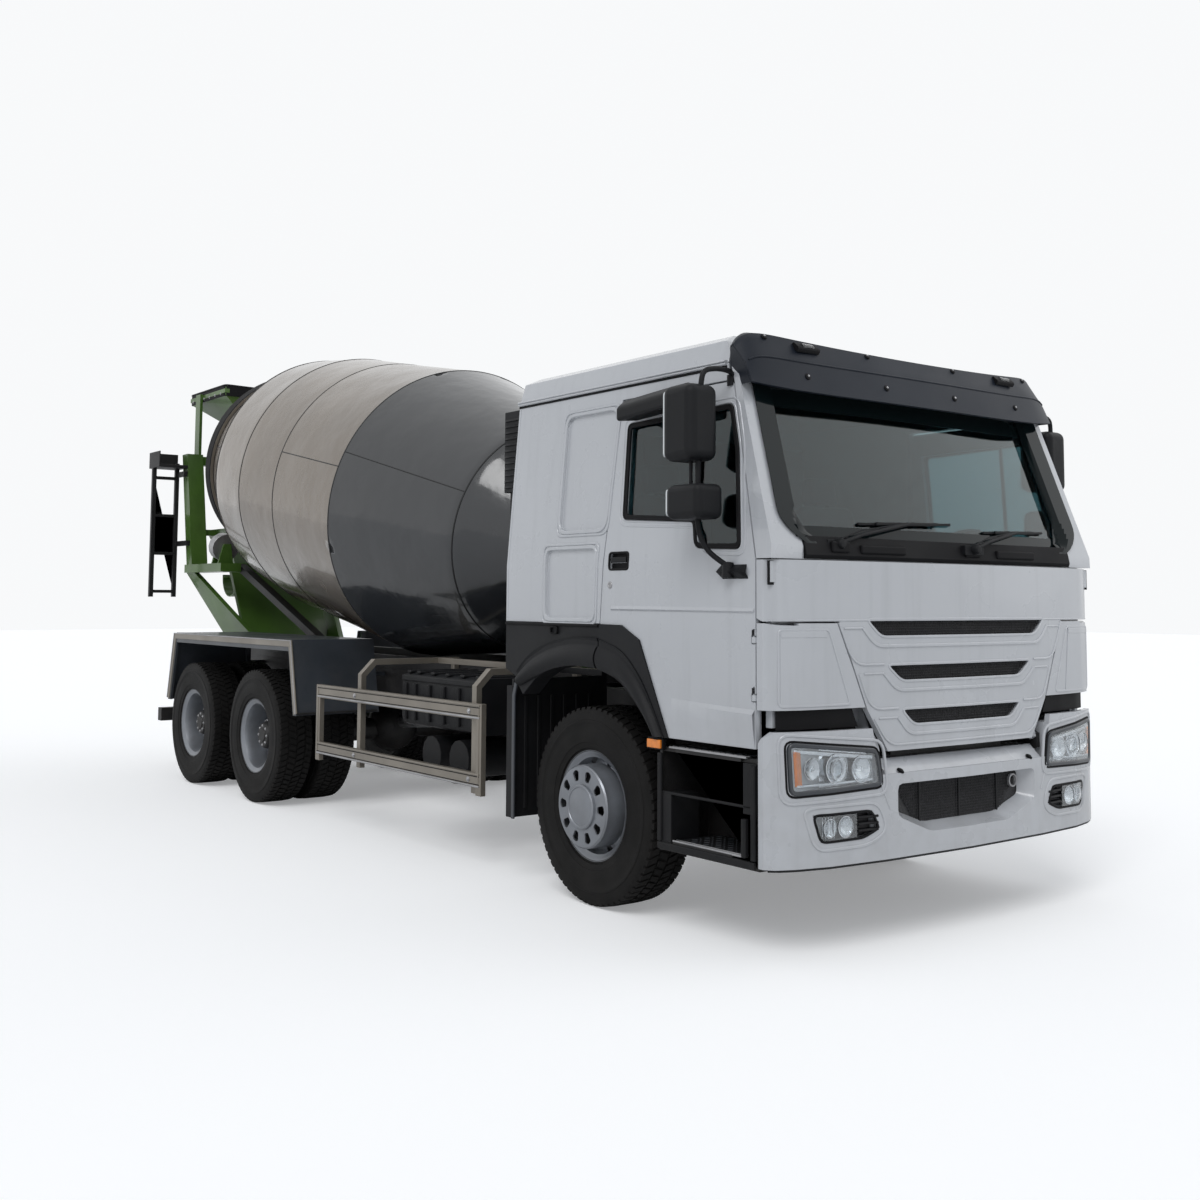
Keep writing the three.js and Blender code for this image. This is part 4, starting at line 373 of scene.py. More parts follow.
def side_box(side, x0, x1, y0, y1, z0, z1):
    """A box on one side of the truck, between two distances from its middle."""
    return box(at(min(side * x0, side * x1), y0, z0), at(max(side * x0, side * x1), y1, z1))


def side_line(side, points, section):
    """A section along points on one side of the truck, their x a distance from its middle."""
    return sweep([at(side * x, y, z) for x, y, z in points], section, X * side)


def rounded(outline, radius, steps=4, closed=True):
    """An outline [(u, v)] with its corners rounded. An open one keeps its two ends."""
    result = []
    count = len(outline)
    for i in range(count):
        if not closed and i in (0, count - 1):
            result.append(outline[i])
            continue
        corner, before, after = (Vector(outline[j % count]) for j in (i, i - 1, i + 1))
        come, go = (before - corner), (after - corner)
        reach = min(radius, come.length * 0.45, go.length * 0.45)
        first, last = corner + come.normalized() * reach, corner + go.normalized() * reach
        for k in range(steps + 1):
            t = k / steps
            result.append(tuple(first * (1 - t) ** 2 + corner * (2 * t * (1 - t)) + last * t ** 2))
    return result


def sheet_of(columns, thickness):
    """A curved sheet through columns of points, as thick as the vector says."""
    rows = len(columns[0])
    face = [p for column in columns for p in column]
    total = len(face)
    points = face + [p + thickness for p in face]
    faces = []
    for i in range(len(columns) - 1):
        for j in range(rows - 1):
            a = i * rows + j
            faces += [(a, a + 1, a + rows + 1, a + rows),
                      (total + a, total + a + rows, total + a + rows + 1, total + a + 1)]
    rim = [j for j in range(rows)] + [i * rows + rows - 1 for i in range(1, len(columns))]
    rim += [total - 1 - j for j in range(1, rows)] + [i * rows for i in range(len(columns) - 2, 0, -1)]
    faces += [(a, b, total + b, total + a) for a, b in zip(rim, rim[1:] + rim[:1])]
    return points, faces


def piece(name, parts, material, body, bevel=0.0, angle=35, segments=2):
    """One named piece riding on a body.

    parts is a shape, a list of shapes, a dict of either by its finish, or finishes and shapes in pairs.
    """
    if isinstance(parts, dict):
        parts = list(parts.items())
    elif not isinstance(parts[0][0], str):
        parts = [(material, parts)]
    finishes = list(dict.fromkeys(finish for finish, _ in parts))
    mesh = bpy.data.meshes.new(name)
    points, faces, looks = [], [], []
    for finish, shapes in parts:
        some, sides = merged(*shapes) if isinstance(shapes, list) else shapes
        base = len(points)
        points += some
        faces += [tuple(base + i for i in f) for f in sides]
        looks += [finishes.index(finish)] * len(sides)
    for finish in finishes:
        mesh.materials.append(MAT[finish])
    mesh.from_pydata([tuple(p) for p in points], [], faces)
    mesh.polygons.foreach_set("material_index", looks)
    solid = bmesh.new()
    solid.from_mesh(mesh)
    bmesh.ops.remove_doubles(solid, verts=solid.verts, dist=SAME_POINT)
    bmesh.ops.recalc_face_normals(solid, faces=solid.faces)
    solid.to_mesh(mesh)
    solid.free()
    mesh.shade_smooth()
    mesh.set_sharp_from_angle(angle=math.radians(angle))
    made = placed(name, mesh)
    if bevel:
        soften(made, bevel, segments)
    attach(made, body)
    return made


def modifier(target, name, kind, **settings):
    """A new modifier with its settings."""
    made = target.modifiers.new(name, kind)
    for key, value in settings.items():
        setattr(made, key, value)


def soften(target, width, segments=2, keep_sharp=True):
    """Rounded edges with the flat faces kept flat."""
    modifier(target, "edges", "BEVEL", width=width, segments=segments, limit_method="ANGLE",
             angle_limit=EDGE_ANGLE, miter_outer="MITER_ARC")
    modifier(target, "normals", "WEIGHTED_NORMAL", keep_sharp=keep_sharp)


# ---------------------------------------------------------------- CAD nodes that stay

def repaint(node, look, chosen):
    """Faces of a CAD node whose middle passes the test take another finish."""
    node.data.materials.append(MAT[look])
    for face in node.data.polygons:
        if chosen(face.center):
            face.material_index = len(node.data.materials) - 1


NODE_SLOTS = {part["node"]: part["material_slot"] for part in frame["record"]["subparts"]}
EDGE = 0.0035
WELD_GAP = 0.00002
FLAT_ANGLE = math.radians(0.6)


def dress_nodes():
    """Each CAD node gets its finish, smooth curves and rounded edges."""
    for name, node in frame["nodes"].items():
        mesh = node.data
        mesh.materials.clear()
        mesh.materials.append(MAT[NODE_SLOTS.get(name, "chassis_black")])
        if "custom_normal" in mesh.attributes:
            mesh.attributes.remove(mesh.attributes["custom_normal"])
        mesh.shade_smooth()
        modifier(node, "weld", "WELD", merge_threshold=WELD_GAP)
        modifier(node, "flat", "DECIMATE", decimate_type="DISSOLVE", angle_limit=FLAT_ANGLE)
        soften(node, EDGE, keep_sharp=False)


dress_nodes()
DOOR_SKIN = 1.243
for label, side in SIDES:
    repaint(frame["nodes"]["door_" + label], "black_plastic",
            lambda p: abs(p.x) > DOOR_SKIN + 0.0005 and p.z < 1.49)
    repaint(frame["nodes"]["side_guard_" + label], "black_plastic", lambda p: p.y < FRONT_AXLE + 0.85)


# ---------------------------------------------------------------- wheels

TYRE_RADIUS = 0.519
TREAD_BASE = 0.5095
BEAD_RADIUS = 0.268
TYRE_HALF = 0.143
TREAD_ROWS = ((-0.126, -0.072), (-0.062, -0.006), (0.006, 0.062), (0.072, 0.126))
TREAD_COUNT = 66
STUDS = 10


def spoke(out, turn):
    """The direction at an angle round a wheel, from straight up."""
    return Z * math.cos(turn) + out.cross(Z) * math.sin(turn)


def tyre(centre, out):
    """A tyre with sidewall rings and rows of skewed tread blocks."""
    side = [(0.085, 0.262), (0.104, BEAD_RADIUS), (0.122, 0.283), (0.124, 0.297), (0.131, 0.300),
            (0.137, 0.33), (0.1395, 0.332), (0.1425, 0.372), (TYRE_HALF, 0.40), (0.1415, 0.432),
            (0.1435, 0.436), (0.1425, 0.447), (0.1395, 0.45), (0.137, 0.483), (0.131, 0.501),
            (0.118, TREAD_BASE)]
    profile = side + [(-x, r) for x, r in reversed(side)]
    shapes = [lathe(profile, centre, out, 96, closed=True)]
    step = 2 * math.pi / TREAD_COUNT

    def spot(turn, x, radius):
        return centre + out * x + spoke(out, turn) * radius

    for row, (low, high) in enumerate(TREAD_ROWS):
        outer = row in (0, len(TREAD_ROWS) - 1)
        skew = step * (0.22 if row % 2 else -0.22)
        for i in range(TREAD_COUNT):
            start = step * (i + 0.5 * (row % 2))
            corners = [(start + skew, low), (start + step * 0.78 + skew, low),
                       (start + step * 0.70 - skew, high), (start + step * 0.08 - skew, high)]
            block = []
            for turn, x in corners:
                edge = outer and abs(x) > 0.1
                block.append(spot(turn, x * (1.085 if edge else 1), TREAD_BASE - (0.024 if edge else 0.004)))
            block += [spot(turn, x, TYRE_RADIUS - (0.004 if outer and abs(x) > 0.1 else 0)) for turn,
                      x in corners]
            shapes.append((block, [(3, 2, 1, 0), (4, 5, 6, 7), (0, 1, 5, 4), (1, 2, 6, 5), (2, 3, 7, 6),
                                   (3, 0, 4, 7)]))
    return merged(*shapes)


def holed_ring(centre, out, inner, outer, hole, hole_radius, near, far, thickness=0.008, count=STUDS):
    """A ring plate with round holes, sloping from near at its inner edge to far at its outer edge."""
    points, faces = [], []
    steps = 6
    half = math.pi / count

    def spot(turn, radius, level):
        slope = near + (far - near) * (radius - inner) / (outer - inner) + level
        return centre + out * slope + spoke(out, turn) * radius

    for mid in (2 * math.pi * (k + 0.5) / count for k in range(count)):
        border = [(mid - half + 2 * half * i / steps, outer) for i in range(steps)]
        border += [(mid + half, outer), (mid + half, inner)]
        border += [(mid + half - 2 * half * i / steps, inner) for i in range(1, steps + 1)]
        base, size = len(points), len(border)
        for level in (0, -thickness):
            points += [spot(turn, radius, level) for turn, radius in border]
            for turn, radius in border:
                away = math.atan2(radius * math.cos(turn - mid) - hole, radius * math.sin(turn - mid))
                u, v = hole_radius * math.cos(away), hole + hole_radius * math.sin(away)
                points.append(spot(mid + math.atan2(u, v), math.hypot(u, v), level))
        for i in range(size):
            j = (i + 1) % size
            a, b, c, d = base + i, base + j, base + size + j, base + size + i
            faces += [(a, b, c, d), (a + 2 * size, d + 2 * size, c + 2 * size, b + 2 * size),
                      (d, c, c + 2 * size, d + 2 * size)]
    return points, faces


def rim(centre, out):
    """A steel rim barrel with a rolled bright flange on each side."""
    half = [(0.0, 0.252), (0.075, 0.256), (0.098, 0.262), (0.107, 0.283), (0.116, 0.2905), (0.123, 0.288),
            (0.121, 0.281)]
    inner = [(0.112, 0.272), (0.103, 0.252), (0.078, 0.243), (0.0, 0.238)]
    profile = half + inner + [(-x, r) for x, r in reversed(inner[:-1])]
    profile += [(-x, r) for x, r in reversed(half[1:])]
    return lathe(profile, centre, out, 72, closed=True)


def studs(centre, out, radius, place, size=0.016):
    """Wheel nuts with their washers and stud ends, in a ring."""
    shapes = []
    nut = [(0, size * 1.3), (0.004, size * 1.3), (0.0041, size), (0.022, size), (0.026, size * 0.8)]
    end = [(0.02, size * 0.5), (0.038, size * 0.5), (0.04, size * 0.4)]
    for i in range(STUDS):
        turn = 2 * math.pi * (i + 0.5) / STUDS
        foot = centre + spoke(out, turn) * radius + out * place
        shapes += [lathe(nut, foot, out, 6), lathe(end, foot, out, 10)]
    return merged(*shapes)


def front_wheel(name, side):
    """A front wheel: its tyre, rim, hub cover, hand-holed plates and nuts."""
    out = X * side
    centre = middle(name)
    hub = centre + out * 0.172
    cover = [(-0.15, 0.219), (0.014, 0.216), (0.022, 0.209), (0.022, 0.2089), (-0.14, 0.206)]
    cap = [(0.018, 0.118), (0.034, 0.116), (0.039, 0.110), (0.039, 0.101), (0.035, 0.098), (0.036, 0.09),
           (0.041, 0.03), (0.0415, 0.0)]
    back = [(-0.04, 0.0), (-0.04, 0.205), (-0.05, 0.205), (-0.05, 0.0)]
    drum = [(-0.12, 0.0), (-0.12, 0.20), (0.02, 0.20), (0.02, 0.0)]
    piece(name + "_tyre", tyre(centre, out), "tyre_rubber", name)
    painted = [rim(centre, out), lathe(cover, hub, out, 60), lathe(cap, hub, out, 60),
               holed_ring(hub, out, 0.116, 0.2085, 0.164, 0.029, 0.024, 0.022),
               holed_ring(centre, out, 0.200, 0.268, 0.243, 0.029, 0.078, 0.040)]
    black = [lathe(back, hub, out, 48), lathe(drum, centre, out, 32)]
    wheel = piece(name + "_rim", {"rim_paint": painted, "chassis_black": black,
                                  "bare_steel": studs(hub, out, 0.164, -0.041, 0.013)}, "rim_paint", name)
    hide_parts(name)


def rear_wheels(name, side):
    """A pair of rear wheels: two tyres and rims, the dished plate, the hub and its bolts."""
    out = X * side
    low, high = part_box(name)
    gap = (high.x - low.x) / 2 - TYRE_HALF
    outer, inner = middle(name) + out * gap, middle(name) - out * gap
    piece(name + "_tyres", [tyre(outer, out), tyre(inner, out)], "tyre_rubber", name)
    plate = [(-0.060, 0.0), (-0.060, 0.155), (-0.051, 0.155), (-0.051, 0.0)]
    hub = [(-0.055, 0.128), (-0.01, 0.124), (0.0, 0.112), (0.045, 0.100), (0.058, 0.090), (0.06, 0.055),
           (0.068, 0.05), (0.069, 0.0)]
    axle = [(-0.18, 0.0), (-0.18, 0.2), (-0.07, 0.2), (-0.07, 0.0)]
    painted = [rim(outer, out), rim(inner, out),
               holed_ring(outer, out, 0.150, 0.243, 0.205, 0.026, -0.052, -0.085),
               lathe(plate, outer, out, 48)]
    heads = [bolt(outer + out * 0.058 + (Z * math.cos(a) + Y * math.sin(a)) * 0.075, out, 0.008)
             for a in (2 * math.pi * i / 8 for i in range(8))]
    black = [lathe(hub, outer, out, 40), lathe(axle, inner, out, 32)]
    heads.append(studs(outer, out, 0.168, -0.055))
    wheel = piece(name + "_rims", {"rim_paint": painted, "chassis_black": black, "bare_steel": heads},
                  "rim_paint", name)
    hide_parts(name)


for label, side in SIDES:
    front_wheel("front_wheel_" + label, side)
    rear_wheels("rear_wheels_front_" + label, side)
    rear_wheels("rear_wheels_rear_" + label, side)

# ---------------------------------------------------------------- drum

DRUM_SLOPE = math.radians(10.92)
DRUM_FOOT = at(0, 2.000, 2.010)
DRUM_AXIS = Vector((0, math.cos(DRUM_SLOPE), math.sin(DRUM_SLOPE)))
DRUM_PROFILE = [(-0.300, 0.550), (0.090, 0.821), (1.361, 1.138), (2.407, 1.135), (3.101, 1.142),
                (3.771, 1.092), (4.430, 0.868), (4.570, 0.868), (5.050, 0.560)]
DRUM_WALL = 0.008
DRUM_INSET = 0.0035
BLADE_DEPTH = 0.26
BLADE_TURNS = 1.6
DRUM_SEAMS = (0.090, 1.361, 2.407, 3.101, 3.771, 4.430)
LONG_SEAMS = ((68, 0.09, 1.361), (74, 1.361, 2.407), (79, 3.771, 4.43), (250, 2.407, 3.101),
              (160, 3.101, 3.771), (300, 1.361, 2.407))
# Where the near-black painted reflection on the front cone ends and the drum's own paint begins.
REFLECTION_SPLIT = 1.361
DRUM_SIDES = 144
DRUM_RING_STEP = 0.06


def round_drum(profile):
    """A closed profile [(along, radius)] turned about the drum's axis."""
    return lathe(profile, DRUM_FOOT, DRUM_AXIS, DRUM_SIDES, closed=True)


def drum_radius(s):
    """The outside radius of the painted drum, just within the CAD's, at a distance along its axis."""
    for (s0, r0), (s1, r1) in zip(DRUM_PROFILE, DRUM_PROFILE[1:]):
        if s0 <= s <= s1:
            return r0 + (r1 - r0) * (s - s0) / (s1 - s0) - DRUM_INSET
    return DRUM_PROFILE[-1][1] - DRUM_INSET


def drum_shell(first, last):
    """A stretch of the drum's rolled plates, with their wall."""
    corners = [s for s, r in DRUM_PROFILE if first <= s <= last]
    outer = []
    for s0, s1 in zip(corners, corners[1:]):
        parts = max(1, round((s1 - s0) / DRUM_RING_STEP))
        outer += [(s0 + (s1 - s0) * i / parts, drum_radius(s0 + (s1 - s0) * i / parts)) for i in range(parts)]
    outer.append((last, drum_radius(last)))
    wall = [(s, r - DRUM_WALL) for s, r in reversed(outer)]
    return round_drum(outer + wall)


def drum_seam(s, proud=0.0025, width=0.007):
    """A weld bead round the drum."""
    r = drum_radius(s)
    bead = [(s - width, r - 0.002), (s - width * 0.5, r + proud), (s + width * 0.5, r + proud),
            (s + width, r - 0.002)]
    return round_drum(bead)


def long_seam(turn, first, last):
    """A weld along the drum at an angle round it, from straight up towards the right."""
    ray = (X.cross(DRUM_AXIS) * math.cos(turn) - X * math.sin(turn)).normalized()
    path = [DRUM_FOOT + DRUM_AXIS * s + ray * (drum_radius(s) + 0.0005) for s in (first, last)]
    return sweep(path, strip(0.008, 0.002), ray)


def mixing_blade(start):
    """A spiral blade on the inside of the drum, that begins at an angle."""
    columns = []
    for i in range(60):
        s = 1.4 + 3.45 * i / 59
        turn = start + 2 * math.pi * BLADE_TURNS * i / 59
        ray = X.cross(DRUM_AXIS) * math.cos(turn) + X * math.sin(turn)
        wall = drum_radius(s) - DRUM_WALL
        columns.append([DRUM_FOOT + DRUM_AXIS * s + ray * r for r in (wall - 0.002, wall - BLADE_DEPTH)])
    return sheet_of(columns, DRUM_AXIS * 0.006)


def drum_pieces():
    """The drum, whose near-black front cone is a painted reflection, with its welds, flange, lip, blades and
    running ring.
    """
    last = DRUM_PROFILE[-1][0]
    flange = [(-0.33, 0.0), (-0.33, 0.2), (-0.30, 0.2), (-0.30, 0.56), (-0.285, 0.56), (-0.285, 0.0)]
    lip = [(last - 0.02, 0.56), (last, 0.572), (last + 0.012, 0.565), (last + 0.012, 0.552), (last, 0.55)]
    black = [lathe(lip, DRUM_FOOT, DRUM_AXIS, 96, closed=True), mixing_blade(0), mixing_blade(math.pi)]
    black += [drum_seam(s) for s in DRUM_SEAMS]
    black += [long_seam(math.radians(a), s0, s1) for a, s0, s1 in LONG_SEAMS]
    # The front cone's near-black is a painted reflection; behind the split the drum has its own paint.
    made = piece("drum_shell", [("drum_dark", drum_shell(-0.30, REFLECTION_SPLIT)),
                                ("chassis_black", lathe(flange, DRUM_FOOT, DRUM_AXIS, 64)),
                                ("drum_paint", drum_shell(REFLECTION_SPLIT, last)), ("chassis_black", black)],
                 "drum_paint", "drum", angle=50)
    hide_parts("drum")
    ring = [(4.440, 0.866), (4.440, 0.892), (4.446, 0.900), (4.554, 0.900), (4.560, 0.892), (4.560, 0.866)]
    edge = [(4.434, 0.869), (4.434, 0.894), (4.440, 0.894), (4.440, 0.869)]
    band = piece("drum_running_ring", {"rubber_seal": round_drum(ring), "bright_rail": round_drum(edge)},
                 "chassis_black", "drum")
    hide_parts("drum_ring")


drum_pieces()


# ---------------------------------------------------------------- the nose

LID_PLAN = [(0, -1.492), (0.600, -1.478), (0.900, -1.455), (1.090, -1.428), (1.190, -1.395), (1.243, -1.345)]
BUMPER_PLAN = [(0, -1.525), (0.600, -1.508), (0.950, -1.475), (1.130, -1.430), (1.215, -1.390),
               (1.248, -1.350)]
SLOTS = ((1.517, 1.433, 0.695, 0.600), (1.304, 1.223, 0.565, 0.460), (1.094, 1.015, 0.468, 0.380))
SLOT_ROUND = 0.04
LID_LEVELS = ((0.865, 1.500, 0.775, 1.306, 0.585), (0.742, 1.262, 0.672, 1.098, 0.488),
              (0.650, 1.055, 0.560, 0.928, 0.0))
LID_BACK = [(-0.62, 0.96), (0.62, 0.96), (0.80, 1.55), (-0.80, 1.55)]
CORNER_PANEL = [(0.90, 1.128), (1.185, 1.128), (1.185, 1.475), (0.945, 1.475)]
# The outline of a black sheet sunk behind the gap under each corner panel: painted shade.
CORNER_GAP_SHADE = [(0.72, 1.02), (1.18, 1.02), (1.18, 1.115), (0.76, 1.115)]
MESH_PITCH = 0.013
MESH_WIRE = 0.0022


def on_plan(plan, x, z, proud=0.0):
    """A point of a nose panel at x and z, standing proud of it."""
    reach = min(abs(x), plan[-1][0])
    for (x0, y0), (x1, y1) in zip(plan, plan[1:]):
        if x0 <= reach <= x1:
            return at(x, y0 + (y1 - y0) * (reach - x0) / (x1 - x0) - proud, z)
    return at(x, plan[-1][1] - proud, z)


def dense(outline, step=0.04, closed=True):
    """An outline with points no further apart than a step."""
    result = []
    ends = outline[1:] + outline[:1] if closed else outline[1:]
    for (u0, v0), (u1, v1) in zip(outline, ends):
        parts = max(1, math.ceil(math.hypot(u1 - u0, v1 - v0) / step))
        result += [(u0 + (u1 - u0) * i / parts, v0 + (v1 - v0) * i / parts) for i in range(parts)]
    return result if closed else result + [outline[-1]]


def trace(plan, outline, section, closed=True, radius=0.0):
    """A section carried along an outline [(x, z)] on a nose panel."""
    if radius:
        outline = rounded(outline, radius, closed=closed)
    path = [on_plan(plan, x, z) for x, z in dense(outline, closed=closed)]
    return sweep(path, section, -Y, closed)


def mesh_screen(plan, low, high, half_low, half_high, sunk):
    """A woven wire screen that fills a slot between two heights."""
    wires = []

    def wire(points):
        wires.append(sweep([on_plan(plan, x, z, -sunk) for x, z in points], disc(MESH_WIRE, 4), -Y))

    rows = round((high - low) / MESH_PITCH)
    for i in range(1, rows):
        z = low + (high - low) * i / rows
        half = half_low + (half_high - half_low) * i / rows
        wire([(-half + 2 * half * k / 12, z) for k in range(13)])
    columns = round(half_high / MESH_PITCH)
    for i in range(-columns, columns + 1):
        x = i * MESH_PITCH
        foot = low + (high - low) * max(0.0, abs(x) - half_low) / (half_high - half_low)
        if foot < high - MESH_PITCH / 2:
            wire([(x, foot), (x, high)])
    return merged(*wires)


def curved_sheet(plan, corners, proud, thickness, dome=0.0, across=16, up=6):
    """A sheet between a lower and an upper edge.

    Its corners are the lower inner, lower outer, upper outer and upper inner ones.
    """
    (a, b, c, d) = [Vector(p) for p in corners]
    columns = []
    for i in range(across + 1):
        s = i / across
        foot, head = a.lerp(b, s), d.lerp(c, s)
        column = []
        for j in range(up + 1):
            t = j / up
            x, z = foot.lerp(head, t)
            swell = dome * math.sin(math.pi * s) * math.sin(math.pi * t)
            column.append(on_plan(plan, x, z, proud + swell))
        columns.append(column)
    return sheet_of(columns, Y * thickness)


def lid_pieces():
    """The front lid's mouldings, screens, hinge covers and corner panels, and painted shade sheets in the
    corner gaps.
    """
    shapes, screens = [], []
    for (top, bottom, half_top, half_bottom), (x0, z0, x1, z1, stop) in zip(SLOTS, LID_LEVELS):
        slot = [(-half_bottom, bottom), (half_bottom, bottom), (half_top, top), (-half_top, top)]
        shapes.append(trace(LID_PLAN, slot, strip(0.013, 0.004), radius=SLOT_ROUND))
        middle_z, wide, low = (top + bottom) / 2, half_top + 0.022, half_bottom + 0.035
        inner = [(-wide, middle_z), (-low, bottom - 0.042), (low, bottom - 0.042), (wide, middle_z)]
        shapes.append(trace(LID_PLAN, inner, strip(0.016, 0.006), closed=False, radius=0.05))
        for side in (RIGHT, LEFT):
            hook, bridge = [(x0, z0), (x1, z1), (stop, z1)], [(wide, middle_z), (x0 - 0.03, middle_z)]
            shapes.append(nose_run(LID_PLAN, side, hook, strip(0.011, 0.006), 0.07))
            shapes.append(nose_run(LID_PLAN, side, bridge, strip(0.009, 0.005)))
        screens.append(mesh_screen(LID_PLAN, bottom + 0.002, top - 0.002, half_bottom, half_top, 0.018))
    shapes.append(trace(LID_PLAN, [(-1.225, 1.512), (1.225, 1.512)], strip(0.008, 0.003), closed=False))
    piece("lid_mouldings", shapes, "cab_paint", "front_lid")
    screens.append(curved_sheet(LID_PLAN, LID_BACK, -0.045, 0.004))
    piece("lid_screens", screens, "dark_mesh", "front_lid")
    for label, side in SIDES:
        surround = nose_run(LID_PLAN, side, [(1.208, 1.672), (1.208, 1.781)], strip(0.062, 0.003))
        cover = nose_run(LID_PLAN, side, [(1.208, 1.684), (1.208, 1.779)], strip(0.042, 0.008))
        piece("lid_hinge_cover_" + label, {"rubber_seal": surround, "cab_paint": cover}, "cab_paint",
              "front_lid")
        rib = [(0.80, 1.128), (1.19, 1.128), (1.19, 1.47), (0.925, 1.47)]
        relief = [trace(LID_PLAN, sided(rib, side), strip(0.012, 0.004), radius=0.02),
                  nose_run(LID_PLAN, side, [(0.94, 1.448), (1.18, 1.448)], strip(0.03, 0.005)),
                  curved_sheet(LID_PLAN, sided(CORNER_PANEL, side), 0.003, 0.004)]
        piece("corner_panel_relief_" + label, relief, "cab_paint", "cab")
        # A black sheet sunk behind the corner gap: painted shade where the gap looks dark.
        piece("corner_gap_" + label, curved_sheet(LID_PLAN, sided(CORNER_GAP_SHADE, side), -0.034, 0.004),
              "rubber_seal", "cab")


LAMP = ((0.650, 0.765), (1.140, 0.748), (1.150, 0.955), (0.680, 0.905))
LAMP_BOWLS = ((0.765, 0.835, 0.060, 0.024), (1.045, 0.850, 0.048, 0.010), (0.915, 0.845, 0.066, 0.022))
LAMP_EYES = ((0.915, 0.845, 0.036), (0.765, 0.835, 0.014), (1.045, 0.850, 0.012))
TURN_LIGHT = ((1.095, 0.775), (1.130, 0.775), (1.138, 0.930), (1.105, 0.925))
FOG = ((0.795, 0.529), (0.998, 0.526), (1.030, 0.636), (0.795, 0.636))
FOG_BACK = ((0.68, 0.53), (1.0, 0.527), (1.03, 0.64), (0.70, 0.64))
FOG_POCKET = ((0.655, 0.560), (0.755, 0.524), (1.000, 0.521), (1.038, 0.642), (0.702, 0.642))
FOG_BORDER = ((0.60, 0.545), (0.72, 0.488), (1.03, 0.485), (1.085, 0.662), (1.03, 0.678), (0.66, 0.678))
MOUTH = [(-0.530, 0.750), (-0.530, 0.600), (-0.300, 0.512), (0.300, 0.512), (0.530, 0.600), (0.530, 0.750)]


def sided(outline, side):
    """An outline measured out from the middle, on one side."""
    return [(side * x, z) for x, z in outline]


def nose_run(plan, side, outline, section, radius=0.0):
    """A section carried along an open outline on one side of a nose panel."""
    return trace(plan, sided(outline, side), section, closed=False, radius=radius)


def grown(outline, margin):
    """A convex outline pushed out from its middle."""
    centre = sum((Vector(p) for p in outline), Vector((0, 0))) / len(outline)
    result = []
    for point in outline:
        ray = Vector(point) - centre
        step = Vector((math.copysign(margin, ray.x), math.copysign(margin, ray.y)))
        result.append(tuple(centre + ray + step))
    return result


def lamp_bowl(x, z, radius, depth):
    """A reflector sunk into the bumper."""
    profile = [(-depth, 0.0), (-depth, radius * 0.22), (-depth * 0.7, radius * 0.62),
               (-depth * 0.3, radius * 0.88), (0, radius), (0.004, radius), (0.004, radius * 1.06),
               (-depth * 0.3, radius * 0.97), (-depth - 0.002, radius * 0.3), (-depth - 0.002, 0.0)]
    return lathe(profile, on_plan(BUMPER_PLAN, x, z, 0.002), -Y, 36)


def headlamp(label, side):
    """A headlamp: its borders, three bowls with their eyes, the turn light and the lens."""
    plan = BUMPER_PLAN

    def border(margin, radius, section):
        return trace(plan, sided(grown(LAMP, margin), side), section, radius=radius)

    bright = [curved_sheet(plan, sided(grown(LAMP, -0.012), side), -0.026, 0.003)]
    bright += [lamp_bowl(side * x, z, radius, depth) for x, z, radius, depth in LAMP_BOWLS]
    bright += [nose_run(plan, side, [(0.70, 0.885), (1.135, 0.93)], strip(0.02, 0.004)),
               nose_run(plan, side, [(0.70, 0.785), (1.12, 0.775)], strip(0.014, 0.004)),
               lathe([(0.0, 0.040), (0.006, 0.042), (0.006, 0.047), (0.0, 0.049)],
                     on_plan(plan, side * 0.915, 0.845), -Y, 36, closed=True)]
    eyes = [lathe([(-0.012, 0.0), (-0.012, r), (0.0, r), (0.007, r * 0.75), (0.011, r * 0.4), (0.012, 0.0)],
                  on_plan(plan, side * x, z, 0.001), -Y, 28) for x, z, r in LAMP_EYES]
    turn = curved_sheet(plan, sided(TURN_LIGHT, side), 0.004, 0.003)
    piece("headlamp_" + label, {"slate_plate": border(0.006, 0.03, strip(0.020, 0.011)),
                                "rubber_seal": border(0.022, 0.04, strip(0.010, 0.004)), "chrome": bright,
                                "lamp_glass": eyes, "amber_lens": turn}, "chrome", "chassis")
    lens = curved_sheet(plan, sided(grown(LAMP, -0.004), side), 0.006, 0.0025, 0.007)
    piece("headlamp_lens_" + label, lens, "lamp_glass", "chassis")
    piece("headlamp_moulding_" + label, border(0.052, 0.06, strip(0.014, 0.006)), "cab_paint", "chassis")


def fog_lamp(label, side):
    """A fog lamp in its pocket: the border, fins, two bowls, bars and the lens."""
    plan = BUMPER_PLAN
    border = trace(plan, sided(FOG_POCKET, side), strip(0.012, 0.005), radius=0.03)
    back = curved_sheet(plan, sided(FOG_BACK, side), -0.03, 0.004)
    fins = [nose_run(plan, side, [(0.662, z), (0.785, z)], strip(0.012, 0.004, 0.026))
            for z in (0.556, 0.586, 0.616)]
    bright = [lamp_bowl(side * 0.865, 0.582, 0.046, 0.022), lamp_bowl(side * 0.955, 0.582, 0.040, 0.016)]
    bright += [nose_run(plan, side, [(x, 0.535), (x, 0.632)], strip(0.004, 0.001))
               for x in (0.93, 0.945, 0.96, 0.975, 0.99)]
    piece("fog_lamp_" + label, {"rubber_seal": border, "dark_mesh": back, "black_plastic": fins,
                                "chrome": bright}, "black_plastic", "chassis")
    piece("fog_lens_" + label, curved_sheet(plan, sided(FOG, side), 0.003, 0.0025, 0.004, 10, 4),
          "lamp_glass", "chassis")
    moulding = trace(plan, sided(FOG_BORDER, side), strip(0.014, 0.005), radius=0.06)
    piece("fog_moulding_" + label, moulding, "cab_paint", "chassis")


